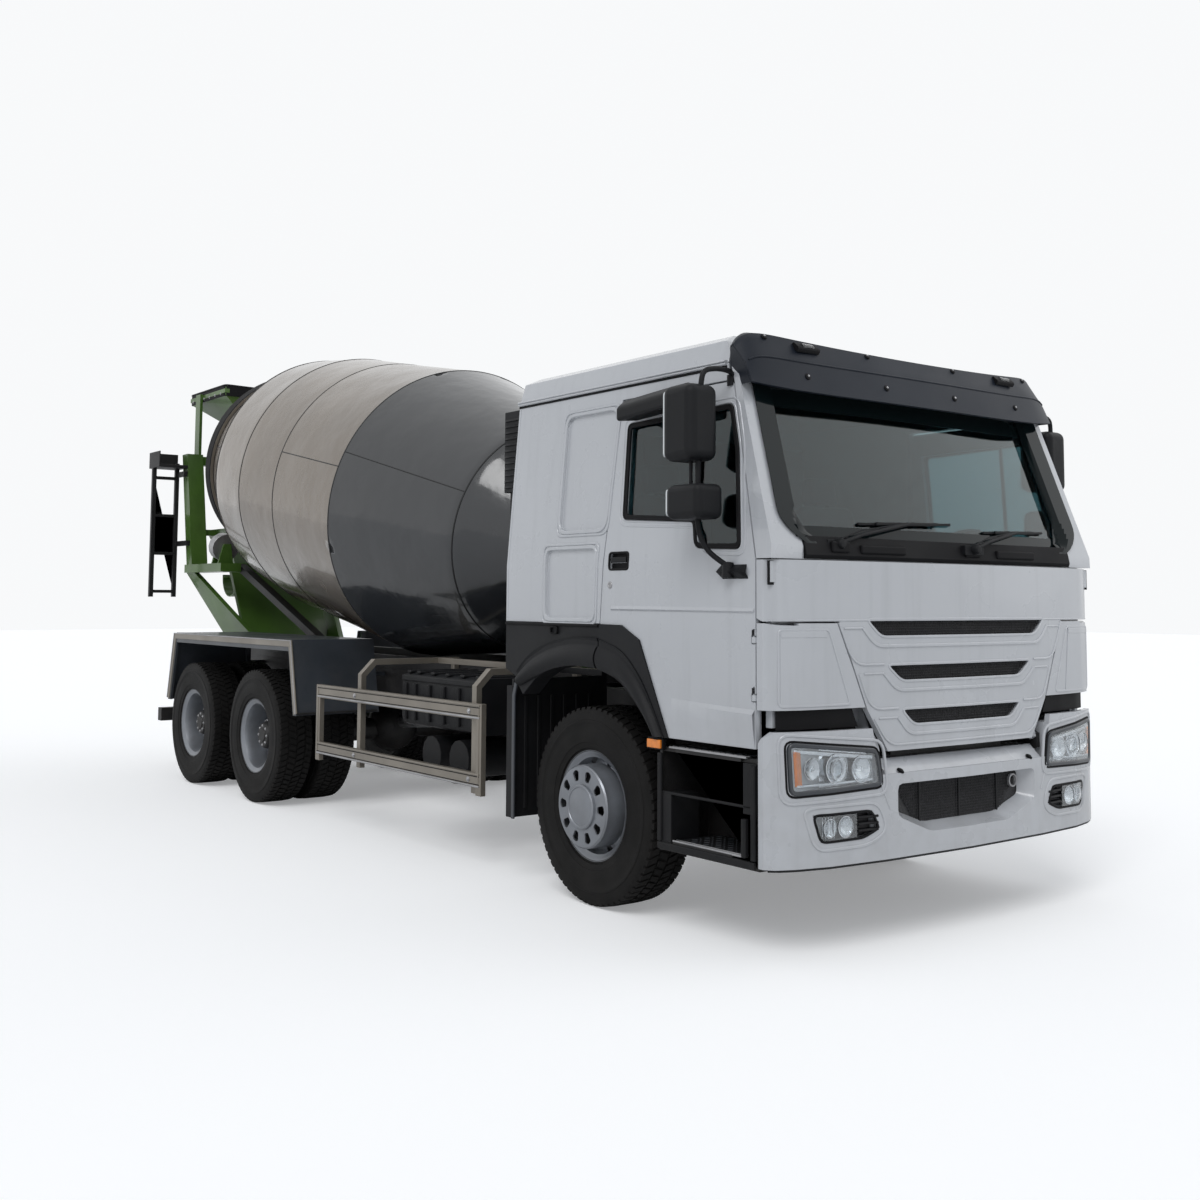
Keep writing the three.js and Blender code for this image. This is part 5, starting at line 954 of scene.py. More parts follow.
def mouth_liner():
    """The painted walls of the bumper's mouth, that narrow towards the screen at its back."""
    outline = dense(rounded(MOUTH, 0.03), 0.03)
    front = [on_plan(BUMPER_PLAN, x, z, -0.0005) for x, z in outline]
    back = [at(x * 0.90, -1.437, 0.545 + (z - 0.512) * 0.80) for x, z in outline]
    points, faces = prism(front, back)
    faces = faces[2:]
    total, count = len(points), len(front)
    shifted = [p + (p - at(0, p.y - FRONT_AXLE, 0.64)).normalized() * 0.003 for p in points]
    faces += [tuple(total + v for v in reversed(f)) for f in faces]
    for first in (0, count):
        ring = [(first + i, first + (i + 1) % count) for i in range(count)]
        faces += [(a, b, total + b, total + a) for a, b in ring]
    return points + shifted, faces


def bumper_pieces():
    """The bumper's mouth, screen, bolts, lower edge, creases and lamps."""
    piece("bumper_mouth_liner", mouth_liner(), "cab_paint", "chassis")
    screen = [mesh_screen([(0, -1.440), (1, -1.440)], 0.548, 0.735, 0.33, 0.472, 0.0),
              box(at(-0.478, -1.434, 0.544), at(0.478, -1.431, 0.737))]
    hook = lathe([(0.0, 0.022), (0.012, 0.026), (0.012, 0.034), (0.0, 0.036)], at(0.42, -1.447, 0.69), -Y, 28,
                 closed=True)
    ribs = [sweep([at(x, -1.443, 0.55), at(x, -1.443, 0.734)], strip(0.012, 0.004), -Y)
            for x in (-0.3, 0.0, 0.3)]
    piece("bumper_screen", {"dark_mesh": screen, "bare_steel": hook, "black_plastic": ribs}, "dark_mesh",
          "chassis")
    bolts = [bolt(at(x, y, z), facing, 0.013) for y, z, facing in
             ((-1.421, 0.860, -Y), (-1.500, 0.808, Vector((0, -0.6, 0.8)))) for x in (-0.50, 0.50)]
    piece("ledge_bolts", bolts, "rubber_seal", "chassis")
    skirt = trace(BUMPER_PLAN, [(-1.235, 0.409), (1.235, 0.409)], strip(0.016, -0.001, 0.02), closed=False)
    piece("bumper_lower_edge", skirt, "black_plastic", "chassis")
    creases = [nose_run(BUMPER_PLAN, side, [(0.645, 0.80), (0.64, 0.752), (0.585, 0.64)],
                        strip(0.010, 0.004), 0.03) for side in (RIGHT, LEFT)]
    piece("bumper_creases", creases, "cab_paint", "chassis")
    for label, side in SIDES:
        headlamp(label, side)
        fog_lamp(label, side)


lid_pieces()
bumper_pieces()

SCREEN_LEAN = 0.345
SCREEN_FOOT = 1.895
SCREEN_HEAD = 2.640
WIPER_FOOT = 1.868


def on_screen(x, z, proud=0.0):
    """A point on the outside of the windscreen and of the pillars beside it."""
    return at(x, -1.388 + 0.045 * (x / 1.08) ** 2 + SCREEN_LEAN * (z - SCREEN_FOOT) - proud, z)


def screen_half(z):
    """Half the width of the windscreen at a height."""
    return 1.065 + (1.005 - 1.065) * (z - SCREEN_FOOT) / (SCREEN_HEAD - SCREEN_FOOT)


def wiper(x0, x1, z1, length, label):
    """A wiper: a spindle housing, an arm and a blade lying on the glass."""
    foot = on_screen(x0, WIPER_FOOT, 0.030)
    tip = on_screen(x1, z1, 0.022)
    bend = on_screen(x0 + (x1 - x0) * 0.3, WIPER_FOOT + (z1 - WIPER_FOOT) * 0.42, 0.040)
    along = Vector((1, 0, 0.03)).normalized() * length
    path = [on_screen(x1 + along.x * t, z1 + along.z * t, 0.007) for t in (i / 12 - 0.5 for i in range(13))]
    shapes = [tube([foot, bend, tip], 0.011, 8),
              tube([foot + Z * 0.02, bend + Z * 0.022, tip + Z * 0.004], 0.004, 6),
              sweep(path, [(-0.005, -0.006), (0.005, -0.006), (0.007, 0.008), (-0.007, 0.008)], -Y),
              sweep([p - Y * 0.012 for p in path[2:-2]], strip(0.018, 0.006), -Y),
              lathe([(-0.02, 0.0), (-0.02, 0.03), (0.018, 0.026), (0.03, 0.018), (0.032, 0.0)], foot, -Y, 20),
              box(foot + Vector((-0.075, 0.0, -0.030)), foot + Vector((0.075, 0.028, 0.018)))]
    piece("wiper_" + label, shapes, "black_plastic", "cab", 0.002)


def shell_of(name):
    """A CAD node as rays meet it."""
    return BVHTree.FromObject(frame["nodes"][name], bpy.context.evaluated_depsgraph_get())


FRONT_SHELL = [shell_of(name) for name in ("cab_front", "windscreen")]


def front_hit(x, z, proud):
    """The point where the cab's front surface stands at x and z, moved proud of it."""
    starts = [at(x + dx, -1.9, z + dz) for dx in (-0.022, 0.0, 0.022) for dz in (-0.02, 0.0, 0.02)]
    hits = [tree.ray_cast(start, Y)[0] for tree in FRONT_SHELL for start in starts]
    hits = [hit for hit in hits if hit is not None]
    surface_y = min(hit.y for hit in hits) if hits else on_screen(x, z, 0.0).y
    return Vector((x, surface_y - proud, z))


def screen_pieces():
    """The windscreen's dark border, the cowl under it, the wipers and their motors."""
    shapes = []
    for side in (RIGHT, LEFT):
        columns = []
        for i in range(29):
            z = SCREEN_FOOT - 0.03 + (SCREEN_HEAD - SCREEN_FOOT + 0.06) * i / 28
            foot = max(0.0, 1 - (z - SCREEN_FOOT + 0.03) / 0.17)
            inner = screen_half(z) - 0.030 - 0.10 * foot
            outer = screen_half(z) + 0.100 - 0.155 * foot ** 2.2
            columns.append([front_hit(side * (inner + (outer - inner) * j / 8), z, 0.006 if j else 0.003)
                            for j in range(9)])
        shapes.append(sheet_of(columns, Y * 0.004))
    for heights in ((SCREEN_FOOT - 0.025, SCREEN_FOOT + 0.055), (SCREEN_HEAD - 0.11, SCREEN_HEAD + 0.02)):
        columns = [[on_screen((i / 12 - 1) * screen_half(z) * 0.99, z, 0.003) for z in heights]
                   for i in range(25)]
        shapes.append(sheet_of(columns, Y * 0.005))
    piece("windscreen_border", shapes, "dark_glass", "cab")
    section = [(-1.406, 1.794), (-1.414, 1.812), (-1.406, 1.850), (-1.392, 1.900), (-1.380, 1.900),
               (-1.380, 1.794)]
    cowl = prism(*[[at(x, y, z) for y, z in section] for x in (-1.03, 1.03)])
    piece("cowl_panel", cowl, "rubber_seal", "cab", 0.002)
    wiper(-0.80, -0.28, 1.980, 0.68, "right")
    wiper(0.18, 0.60, 1.968, 0.56, "left")
    blocks = [box(at(x0, -1.420, z0), at(x1, -1.398, z1)) for x0, x1, z0, z1 in
              ((-0.66, -0.34, 1.824, 1.866), (0.38, 0.70, 1.824, 1.866),
               (-0.86, -0.74, 1.826, 1.878), (0.12, 0.24, 1.826, 1.878))]
    piece("wiper_motors", blocks, "rubber_seal", "cab", 0.008, segments=3)


screen_pieces()


def smooth(points, steps=6):
    """Points along a smooth curve through the given ones."""
    points = [Vector(p) for p in points]
    result = []
    for i in range(len(points) - 1):
        before, here, there = points[max(0, i - 1)], points[i], points[i + 1]
        after = points[min(len(points) - 1, i + 2)]
        for k in range(steps):
            t = k / steps
            result.append(0.5 * (2 * here + (there - before) * t + (2 * before - 5 * here + 4 * there - after)
                                 * t ** 2 + (3 * here - before - 3 * there + after) * t ** 3))
    return result + [points[-1]]


VISOR_HALF = 1.172
VISOR_END = math.pi / 2 * 0.94
VISOR_BEND = 0.62
VISOR_STUDS = ((-0.82, 0.32), (-0.27, 0.32), (0.27, 0.32), (0.82, 0.32), (-1.02, 0.95), (-0.34, 0.95),
               (0.34, 0.95), (1.02, 0.95))


def visor_turn(x):
    """How far along the visor from its middle x lies."""
    return math.asin(x / VISOR_HALF * math.sin(VISOR_END)) / VISOR_END


def visor_point(t, v):
    """A point of the visor: t runs from its right end to its left, v from its lower edge to its upper."""
    x = VISOR_HALF * math.sin(t * VISOR_END) / math.sin(VISOR_END)
    bow = abs(x / VISOR_HALF)
    low_y = -1.268 + 0.034 * bow ** 2 + 0.022 * bow ** 9
    low_z = 2.598 + 0.024 * bow ** 6
    face = min(v, VISOR_BEND) / VISOR_BEND
    top = min(1.0, max(0.0, v - VISOR_BEND) / (1 - VISOR_BEND))
    deck = max(0.0, v - 1.0) / 0.25
    lean = 0.045 * face + 0.050 * top + 0.150 * deck * (1 - 0.95 * bow ** 4)
    height = 0.150 * face + (0.102 + 0.030 * bow ** 2) * top + 0.014 * deck
    return at(x, low_y + lean + 0.035 * bow ** 5 * top, low_z + height - 0.085 * bow ** 22 * v)


def visor():
    """The sun visor with its closed ends, crease, fasteners and two marker lamps."""
    columns = [[visor_point(i / 30, j / 12) for j in range(16)] for i in range(-30, 31)]
    ends = [[Vector((p.x * 0.992, max(p.y, FRONT_AXLE - 1.062), p.z)) for p in columns[i]] for i in (0, -1)]
    shell = sheet_of([ends[0], *columns, ends[1]], Vector((0, 0.012, -0.004)))
    crease = sweep([visor_point(i / 30, VISOR_BEND) for i in range(-28, 29)], strip(0.010, 0.004),
                   Vector((0, -1, 0.6)))
    caps, heads, bodies, lenses = [], [], [], []
    for x, v in VISOR_STUDS:
        foot = visor_point(visor_turn(x), v)
        facing = Vector((0, -1, 0.5 if v < VISOR_BEND else 1.2))
        caps.append(lathe([(-0.004, 0.0), (-0.004, 0.017), (0.003, 0.017), (0.006, 0.012), (0.006, 0.0)],
                          foot, facing, 16))
        heads.append(lathe([(0.0, 0.0), (0.0, 0.007), (0.010, 0.006), (0.011, 0.0)], foot, facing, 10))
    facing = Vector((0, -1, 1.1))
    for x in (-0.78, 0.78):
        path = [visor_point(visor_turn(x), 0.86) + X * 0.0375 * i for i in (-2, -1, 0, 1, 2)]
        bodies.append(sweep(path, strip(0.052, 0.020), facing))
        lenses.append(sweep([p + Vector((0, -0.006, 0.007)) for p in path[1:-1]], strip(0.030, 0.018),
                            facing))
    made = piece("sun_visor", {"visor_plastic": [shell, crease], "rubber_seal": [*caps, *bodies],
                               "bare_steel": heads, "lamp_glass": lenses}, "visor_plastic", "cab", angle=50)
    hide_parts("visor")


visor()

# ---------------------------------------------------------------- the cab's sides

SIDE_PROFILE = [(0.900, 1.243), (1.788, 1.243), (2.175, 1.211), (2.735, 1.162)]
WINDOW = [(-0.309, 2.501), (-0.320, 2.025), (-0.866, 1.989), (-0.888, 1.860), (-1.190, 1.850),
          (-1.142, 2.299), (-1.081, 2.520)]
HANDLE = [(-0.372, 1.757), (-0.212, 1.757), (-0.212, 1.843), (-0.372, 1.843)]
UPPER_PANEL = [(-0.150, 1.975), (0.250, 1.975), (0.250, 2.600), (-0.195, 2.600)]
LOWER_PANEL = [(-0.070, 1.504), (0.357, 1.504), (0.357, 1.868), (-0.086, 1.868)]


def on_side(side, y, z, proud=0.0):
    """A point of the cab's side at y behind the front axle and z, standing proud of it."""
    z_in = min(max(z, SIDE_PROFILE[0][0]), SIDE_PROFILE[-1][0])
    for (z0, x0), (z1, x1) in zip(SIDE_PROFILE, SIDE_PROFILE[1:]):
        if z0 <= z_in <= z1:
            return at(side * (x0 + (x1 - x0) * (z_in - z0) / (z1 - z0) + proud), y, z)


def side_trace(side, outline, section, closed=True, radius=0.0):
    """A section carried along an outline [(y, z)] on the cab's side."""
    if radius:
        outline = rounded(outline, radius, closed=closed)
    return sweep([on_side(side, y, z) for y, z in dense(outline, closed=closed)], section, X * side, closed)


def side_run(side, start, end, section):
    """A section carried straight from one point (y, z) of the cab's side to another."""
    return side_trace(side, [start, end], section, closed=False)


ARCH_SPLIT = -0.130
WEDGE = ((-0.715, 1.128, 0.001), (-0.90, 1.120, 0.010), (-1.10, 1.114, 0.016), (-1.294, 1.110, 0.018))
ARCH_INNER = [(0.590, 1.118), (0.520, 1.142), (0.437, 1.172), (0.250, 1.228), (0.060, 1.252), (-0.130, 1.245),
              (-0.300, 1.200), (-0.430, 1.115), (-0.540, 1.010), (-0.600, 0.936)]
ARCH_OUTER = [(0.622, 1.196), (0.545, 1.262), (0.440, 1.322), (0.270, 1.375), (0.070, 1.402), (-0.130, 1.400),
              (-0.325, 1.345), (-0.470, 1.230), (-0.575, 1.090), (-0.668, 0.936)]


def arch_lip(side, front):
    """The bulging lip of the wheel arch, before or behind the shut line of the door."""
    keep = [i for i, (y, z) in enumerate(ARCH_INNER) if (y <= ARCH_SPLIT) == front or y == ARCH_SPLIT]
    inner, outer = (smooth([Vector(edge[i]) for i in keep], 5) for edge in (ARCH_INNER, ARCH_OUTER))
    shift = Vector((-0.010 if front else 0.004, 0))
    rows = 9
    columns = []
    for low, high in zip(inner, outer):
        column = []
        for j in range(rows + 1):
            t = j / rows
            y, z = low.lerp(high, t) + (shift if low.x > -0.15 else Vector((0, 0)))
            swell = 0.030 * math.sin(math.pi * min(1, t * 1.15 + 0.12)) ** 0.8 if t < 0.98 else 0.006
            column.append(on_side(side, y, z, 0.008 + max(0.0, swell)))
        columns.append(column)
    return sheet_of(columns, X * (-side * 0.016))


def door_details(label, side):
    """The door's window seals, handle and creases."""
    door = "door_" + label
    seals = [side_trace(side, WINDOW, strip(0.026, 0.006), radius=0.035),
             side_trace(side, grown(WINDOW, -0.008), strip(0.010, 0.009), radius=0.03),
             side_run(side, (-0.868, 2.505), (-0.868, 1.985), strip(0.018, 0.0, 0.016))]
    piece("window_seal_" + label, {"rubber_seal": seals}, "black_plastic", door)
    surround = side_trace(side, HANDLE, strip(0.012, 0.004), radius=0.018)
    cup = sheet_of([[on_side(side, y, z, -0.021) for z in (1.760, 1.80, 1.840)]
                    for y in (-0.369, -0.29, -0.215)], X * side * 0.003)
    grip = side_run(side, (-0.355, 1.806), (-0.229, 1.806), strip(0.030, 0.003, 0.010))
    lock = lathe([(-0.004, 0.0), (-0.004, 0.019), (0.003, 0.018), (0.004, 0.009), (0.001, 0.008),
                  (0.001, 0.0)], on_side(side, -0.222, 1.677), X * side, 24)
    piece("door_handle_" + label, {"rubber_seal": [surround, cup], "black_plastic": grip, "bare_steel": lock},
          "black_plastic", door, 0.0015)
    wedge = [[on_side(side, y, high, 0.0005), on_side(side, y, high - 0.020, proud),
              on_side(side, y, high - 0.080, proud * 0.75), on_side(side, y, 0.940, 0.001)]
             for y, high, proud in WEDGE]
    creases = [side_run(side, (-0.235, 1.555), (-1.292, 1.552),
                        [(-0.022, -0.003), (0.012, -0.003), (0.0, 0.008)]),
               sheet_of(wedge, X * (-side * 0.003)),
               side_trace(side, grown(WINDOW, 0.020), strip(0.009, 0.003), radius=0.045),
               side_trace(side, grown(WINDOW, 0.042), strip(0.010, 0.003), radius=0.055)]
    piece("door_creases_" + label, creases, "cab_paint", door)


def cab_side_pieces(label, side):
    """The side panel's reliefs, the roof gutter, the arch's two lips, the trims and the side marker."""
    panels = []
    for outline, radius in ((UPPER_PANEL, 0.06), (LOWER_PANEL, 0.035)):
        panels.append(side_trace(side, grown(outline, 0.012), strip(0.020, 0.007), radius=radius + 0.012))
        panels.append(side_trace(side, grown(outline, -0.030), strip(0.014, 0.006), radius=radius))
    panels.append(side_run(side, (0.742, 1.50), (0.742, 2.70), strip(0.014, 0.003)))
    piece("side_panel_relief_" + label, panels, "cab_paint", "cab")
    gutter, shadow, drip = (side_run(side, (-1.03, z), (0.752, z), strip(wide, proud)) for z, wide, proud in
                            ((2.730, 0.016, 0.016), (2.716, 0.012, 0.006), (2.742, 0.010, 0.020)))
    piece("roof_gutter_" + label, {"cab_paint": [gutter, drip], "rubber_seal": shadow}, "cab_paint", "cab")
    piece("arch_lip_rear_" + label, arch_lip(side, False), "black_plastic", "cab", angle=60)
    piece("arch_lip_front_" + label, arch_lip(side, True), "black_plastic", "door_" + label, angle=60)
    shut = side_run(side, (0.748, 1.466), (-0.128, 1.466), strip(0.016, 0.012, 0.002))
    hatch = side_trace(side, [(0.24, 1.418), (0.30, 1.418), (0.30, 1.452), (0.24, 1.452)],
                       strip(0.008, 0.013, 0.0), radius=0.01)
    piece("cladding_trim_" + label, [shut, hatch], "rubber_seal", "cab")
    base = box(at(side * 1.225, -0.656, 0.872), at(side * 1.250, -0.540, 0.930))
    amber = box(at(side * 1.238, -0.648, 0.880), at(side * 1.262, -0.548, 0.922))
    piece("side_marker_" + label, {"rubber_seal": base, "amber_lens": amber}, "amber_lens", "chassis", 0.004)


MIRRORS = (("mirror_main_", (1.292, 1.474, -1.118, -0.905, 2.246, 2.604), 0.045),
           ("mirror_lower_", (1.300, 1.466, -1.160, -0.925, 1.973, 2.136), 0.035))
MIRROR_FACES = ((2.268, 2.582, -0.903), (1.990, 2.120, -0.923))
MIRROR_ARMS = (([(1.150, -1.055, 2.655), (1.20, -1.085, 2.682), (1.30, -1.085, 2.684), (1.362, -1.08, 2.655),
                 (1.375, -1.075, 2.55)], 0.013),
               ([(1.375, -1.06, 2.60), (1.375, -1.06, 1.99)], 0.013),
               ([(1.375, -1.06, 2.03), (1.372, -1.062, 1.92), (1.335, -1.085, 1.83), (1.268, -1.13, 1.765)],
                0.013),
               ([(1.385, -1.02, 2.30), (1.385, -1.02, 2.10)], 0.009))
KERB_HOOD = [(1.205, 2.545), (1.352, 2.530), (1.352, 2.600), (1.300, 2.640), (1.205, 2.668)]


def mirror_pieces(label, side):
    """The door's mirrors on their bent arms, and on the right the kerb mirror's hood."""
    door = "door_" + label

    def spot(x, y, z):
        return at(side * x, y, z)

    for name, corners, bevel in MIRRORS:
        piece(name + label, side_box(side, *corners), "black_plastic", door, bevel, segments=5)
    faces = []
    for z0, z1, y in MIRROR_FACES:
        outline = rounded([(1.312, z0), (1.456, z0), (1.456, z1), (1.312, z1)], 0.02)
        faces.append(prism(*[[spot(x, far, z) for x, z in outline] for far in (y, y - 0.01)]))
    piece("mirror_faces_" + label, faces, "mirror_glass", door)
    arms = [tube(smooth([spot(*p) for p in points], 6), radius, 12) for points, radius in MIRROR_ARMS]
    foot = lathe([(-0.02, 0.0), (-0.02, 0.03), (0.05, 0.026), (0.055, 0.0)], spot(1.262, -1.14, 1.725), Z, 20)
    cap = lathe([(-0.02, 0.0), (-0.02, 0.022), (0.03, 0.022), (0.035, 0.0)], spot(1.165, -1.062, 2.64), Z, 20)
    boot = [[spot(1.243, -1.255, 1.700), spot(1.262, -1.25, 1.730), spot(1.243, -1.245, 1.766)]]
    boot += [[spot(1.243, y - 0.005, 1.700), spot(1.284, y, 1.733), spot(1.243, y + 0.005, 1.766)]
             for y in (0.17 * i / 5 - 1.25 for i in range(1, 6))]
    made = piece("mirror_arms_" + label, [*arms, foot, cap, sheet_of(boot, X * (-side * 0.004))],
                 "black_plastic", door, angle=50)
    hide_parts("mirrors_" + label)
    if side == RIGHT:
        hood = prism([spot(x, -0.828, z) for x, z in KERB_HOOD],
                     [spot(x, -0.400, z - 0.03) for x, z in KERB_HOOD])
        piece("mirror_kerb_" + label, hood, "black_plastic", door, 0.018, segments=4)


TREADS = ((0.446, -1.22, -0.72, 0.955, 1.225), (0.891, -1.24, -0.70, 1.15, 1.232))
STUD_PITCH = 0.042
STEP_RAILS = (((1.243, -1.285, 0.44), (1.243, -1.285, 0.86), 0.030, 0.010),
              ((1.243, -0.632, 0.44), (1.243, -0.632, 0.86), 0.030, 0.010),
              ((1.243, -1.295, 0.418), (1.243, -0.62, 0.418), 0.034, 0.010),
              ((1.245, -1.235, 0.45), (1.245, -1.235, 0.62), 0.030, 0.022),
              ((1.236, -1.29, 0.672), (1.236, -0.63, 0.672), 0.014, 0.006))


def step_pieces(label, side):
    """Tread plates with raised studs, the trim of the step box and the mud panel's edge."""
    plates, bars, edges = [], [], []
    for z, y0, y1, x0, x1 in TREADS:
        plates.append(side_box(side, x0, x1, y0, y1, z - 0.004, z + 0.002))
        for i in range(int((y1 - y0) / STUD_PITCH)):
            for j in range(max(1, int((x1 - x0) / 0.04))):
                turn = 0.6 if (i + j) % 2 else -0.6
                along = Vector((math.cos(turn), math.sin(turn), 0)) * 0.013
                foot = at(side * (x0 + 0.025 + j * 0.04), y0 + 0.03 + i * STUD_PITCH, z + 0.002)
                bars.append(sweep([foot - along, foot + along], strip(0.006, 0.004), Z))
        edges += [sweep([at(side * (x1 + out), y, z + 0.001) for y in (y0, y1)], strip(0.008, 0.005), Z)
                  for out in (0.010, -0.012)]
    piece("step_treads_" + label, {"black_plastic": plates, "slate_plate": bars, "bare_steel": edges},
          "bright_rail", "chassis")
    trim = [side_line(side, (foot, head), strip(width, proud)) for foot, head, width, proud in STEP_RAILS]
    trim += [side_box(side, 1.06, 1.242, -0.712, -0.614, 0.420, 0.668),
             side_box(side, 1.06, 1.242, -1.300, -1.215, 0.640, 0.868)]
    piece("step_trim_" + label, trim, "black_plastic", "chassis", 0.006)
    edge = side_line(side, [(1.246, 0.662, 0.372), (1.246, 0.662, 1.06), (1.246, 0.640, 1.13)],
                     strip(0.026, 0.006))
    ribs = [sweep([at(side * (0.70 + 0.09 * i), 0.683, z) for z in (0.42, 1.05)], strip(0.02, 0.005), -Y)
            for i in range(6)]
    piece("mud_panel_edge_" + label, {"slate_plate": edge, "black_plastic": ribs}, "black_plastic", "chassis")


for label, side in SIDES:
    door_details(label, side)
    cab_side_pieces(label, side)
    mirror_pieces(label, side)
    step_pieces(label, side)


# ---------------------------------------------------------------- seats and cab interior

def pad_shape(centre, across, up, half_width, half_height, thick, channels=(), steps=28):
    """A crowned cushion whose sides pull in between its corners, with sewn channels in its faces."""
    across, up = across.normalized(), up.normalized()
    facing = across.cross(up)

    def row(v, front):
        points = []
        for i in range(steps + 1):
            u = -1 + 2 * i / steps
            pull_u, pull_v = 1 - 0.035 * math.cos(v * math.pi / 2), 1 - 0.03 * math.cos(u * math.pi / 2)
            corner = 1 - 0.10 * (u * v) ** 6
            crown = (1 - abs(u) ** 5) ** 0.5 * (1 - abs(v) ** 5) ** 0.5
            dent = sum(0.014 * math.exp(-((u - c) / 0.035) ** 2) for c in channels if abs(v) < 0.93)
            dent += 0.010 * math.exp(-((abs(u) - 0.90) / 0.03) ** 2)
            dome = 0.25 * thick * crown * (1 - u * u * 0.4 - v * v * 0.4)
            swell = thick * (0.28 + 0.22 * crown) + dome - dent * crown
            side = swell if front else -thick * (0.28 + 0.15 * crown)
            points.append(centre + across * (u * half_width * pull_u * corner)
                          + up * (v * half_height * pull_v * corner) + facing * side)
        return points

    rows = [-1 + 2 * j / steps for j in range(steps + 1)]
    front = [row(v, True) for v in rows]
    back = [row(v, False) for v in rows]
    points = [p for line in front for p in line] + [p for line in back for p in line]
    wide, layer, faces = steps + 1, (steps + 1) ** 2, []
    for j in range(steps):
        for i in range(steps):
            a = j * wide + i
            faces.append((a, a + 1, a + wide + 1, a + wide))
            faces.append((layer + a, layer + a + wide, layer + a + wide + 1, layer + a + 1))
    edge = ([i for i in range(steps)] + [j * wide + steps for j in range(steps)]
            + [steps * wide + i for i in range(steps, 0, -1)] + [j * wide for j in range(steps, 0, -1)])
    for k, a in enumerate(edge):
        b = edge[(k + 1) % len(edge)]
        faces.append((b, a, layer + a, layer + b))
    return points, faces


def seat(label, side):
    """A seat: three padded cushions on a boxed base with bellows, and the headrest's posts."""
    x = side * 0.640
    lean = Vector((0, 0.24, 1.0))
    parts = (("cushion", at(x, -0.345, 1.575), X, Vector((0, -1, 0.07)), 0.245, 0.275, 0.135, (-0.5, 0.5)),
             ("backrest", at(x, 0.000, 1.900), -X, lean, 0.240, 0.290, 0.135, (-0.5, 0.5)),
             ("headrest", at(x, 0.088, 2.275), -X, lean, 0.125, 0.085, 0.090, ()))
    for name, *measures in parts:
        made = piece("seat_%s_%s" % (name, label), pad_shape(*measures), "seat_fabric", "cab", angle=80)
        if name == "cushion":
            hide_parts("seat_" + label)

    def block(half, y0, y1, z0, z1):
        return box(at(x - half, y0, z0), at(x + half, y1, z1))

    base = [block(0.15, -0.55, -0.13, 1.302, 1.42), block(0.17, -0.57, -0.11, 1.42, 1.455),
            block(0.21, -0.60, -0.09, 1.50, 1.525)]
    base += [tube([at(x + s * 0.05, 0.055, 2.14), at(x + s * 0.05, 0.085, 2.24)], 0.007, 12) for s in (-1, 1)]
    for i in range(5):
        fold, z = 0.008 * (i % 2), 1.455 + 0.009 * i
        base.append(block(0.155 - fold, -0.555 + fold, -0.125 - fold, z, z + 0.009))
    piece("seat_base_" + label, base, "black_plastic", "cab", 0.004)


for label, side in SIDES:
    seat(label, side)


# ---------------------------------------------------------------- the body behind the cab

def ring_band(points, wide, thick, axis):
    """A flat strap round an outline, wide along the axis it goes round."""
    return sweep(points, strip(thick, wide / 2, wide / 2), axis, True)


def rear_wall_trim():
    """The dark quilted trim on the inside of the cab's rear wall."""
    depth = shell_of("cab_rear_wall").ray_cast(at(0.3, 0.1, 2.0), Y)[0].y - FRONT_AXLE
    panel = box(at(-1.12, depth - 0.012, 1.52), at(1.12, depth - 0.001, 2.62))
    seams = [sweep([at(-0.84 + 0.28 * i, depth - 0.012, z) for z in (1.56, 2.58)], strip(0.010, 0.004), -Y)
             for i in range(7)]
    piece("rear_wall_trim", [panel, *seams], "seat_fabric", "cab", 0.004)


FENDER_TRIM = [(1.244, 3.590, 0.745), (1.244, 3.706, 1.262), (1.244, 6.172, 1.262), (1.244, 6.306, 0.705)]
# The path of the bare-steel lip along the fender trim: a painted highlight.
FENDER_HIGHLIGHT_LIP = [(1.250, 3.575, 0.745), (1.250, 3.690, 1.284), (1.250, 6.186, 1.284), (1.250, 6.322, 0.705)]
GUARD_FACE = 1.243
BATTERY_FACE = -1.052
WATER_TANK_Y, WATER_TANK_Z, WATER_TANK_RADIUS = 1.070, 1.560, 0.194
CHUTE_Y, CHUTE_Z, CHUTE_HALF = 7.65, 1.815, 0.187


def fender_trim(label, side):
    """The bright edge of the rear fender and its lips; the bare-steel lip along the outside is a painted
    highlight.
    """
    trim = side_line(side, FENDER_TRIM, strip(0.052, 0.007))
    # A bare-steel lip standing in for the highlight along the trim's edge: painted highlight.
    lip = side_line(side, FENDER_HIGHLIGHT_LIP, strip(0.008, 0.006))
    front = sweep([at(side * x, 3.572, 0.745) for x in (0.58, 1.236)], strip(0.012, 0.010), Z)
    piece("fender_trim_" + label, {"bright_rail": trim, "bare_steel": lip, "chassis_black": front},
          "bright_rail", "chassis", 0.0015)


def guard_trim(label, side):
    """The edges, grooves and bolts of the side guard's two planks; the bare-steel lines on their lower edges
    are painted highlights.
    """
    groove = GUARD_FACE + 0.0005

    def level(x, z, width, proud):
        return side_line(side, [(x, 1.03, z), (x, 3.22, z)], strip(width, proud))

    bright = [level(GUARD_FACE, z, 0.012, 0.005) for z in (0.974, 0.572)]
    bright += [side_line(side, [(GUARD_FACE, y, 0.52), (GUARD_FACE, y, 0.96)], strip(0.012, 0.004))
               for y in (1.040, 3.210)]
    # The bare-steel lines along the planks' lower edges are painted highlights; the bolts are real.
    highlights_and_bolts = [level(GUARD_FACE, z, 0.012, 0.005) for z in (0.903, 0.504)]
    highlights_and_bolts += [bolt(at(side * groove, y, z), X * side, 0.012, 0.008)
              for y in (1.15, 2.64) for z in (0.938, 0.538)]
    dark = [level(groove, z, 0.006, 0.0015) for z in (0.962, 0.915, 0.561, 0.515)]
    piece("guard_trim_" + label, {"bright_rail": bright, "bare_steel": highlights_and_bolts, "rubber_seal": dark},
          "bright_rail", "chassis", 0.0015)


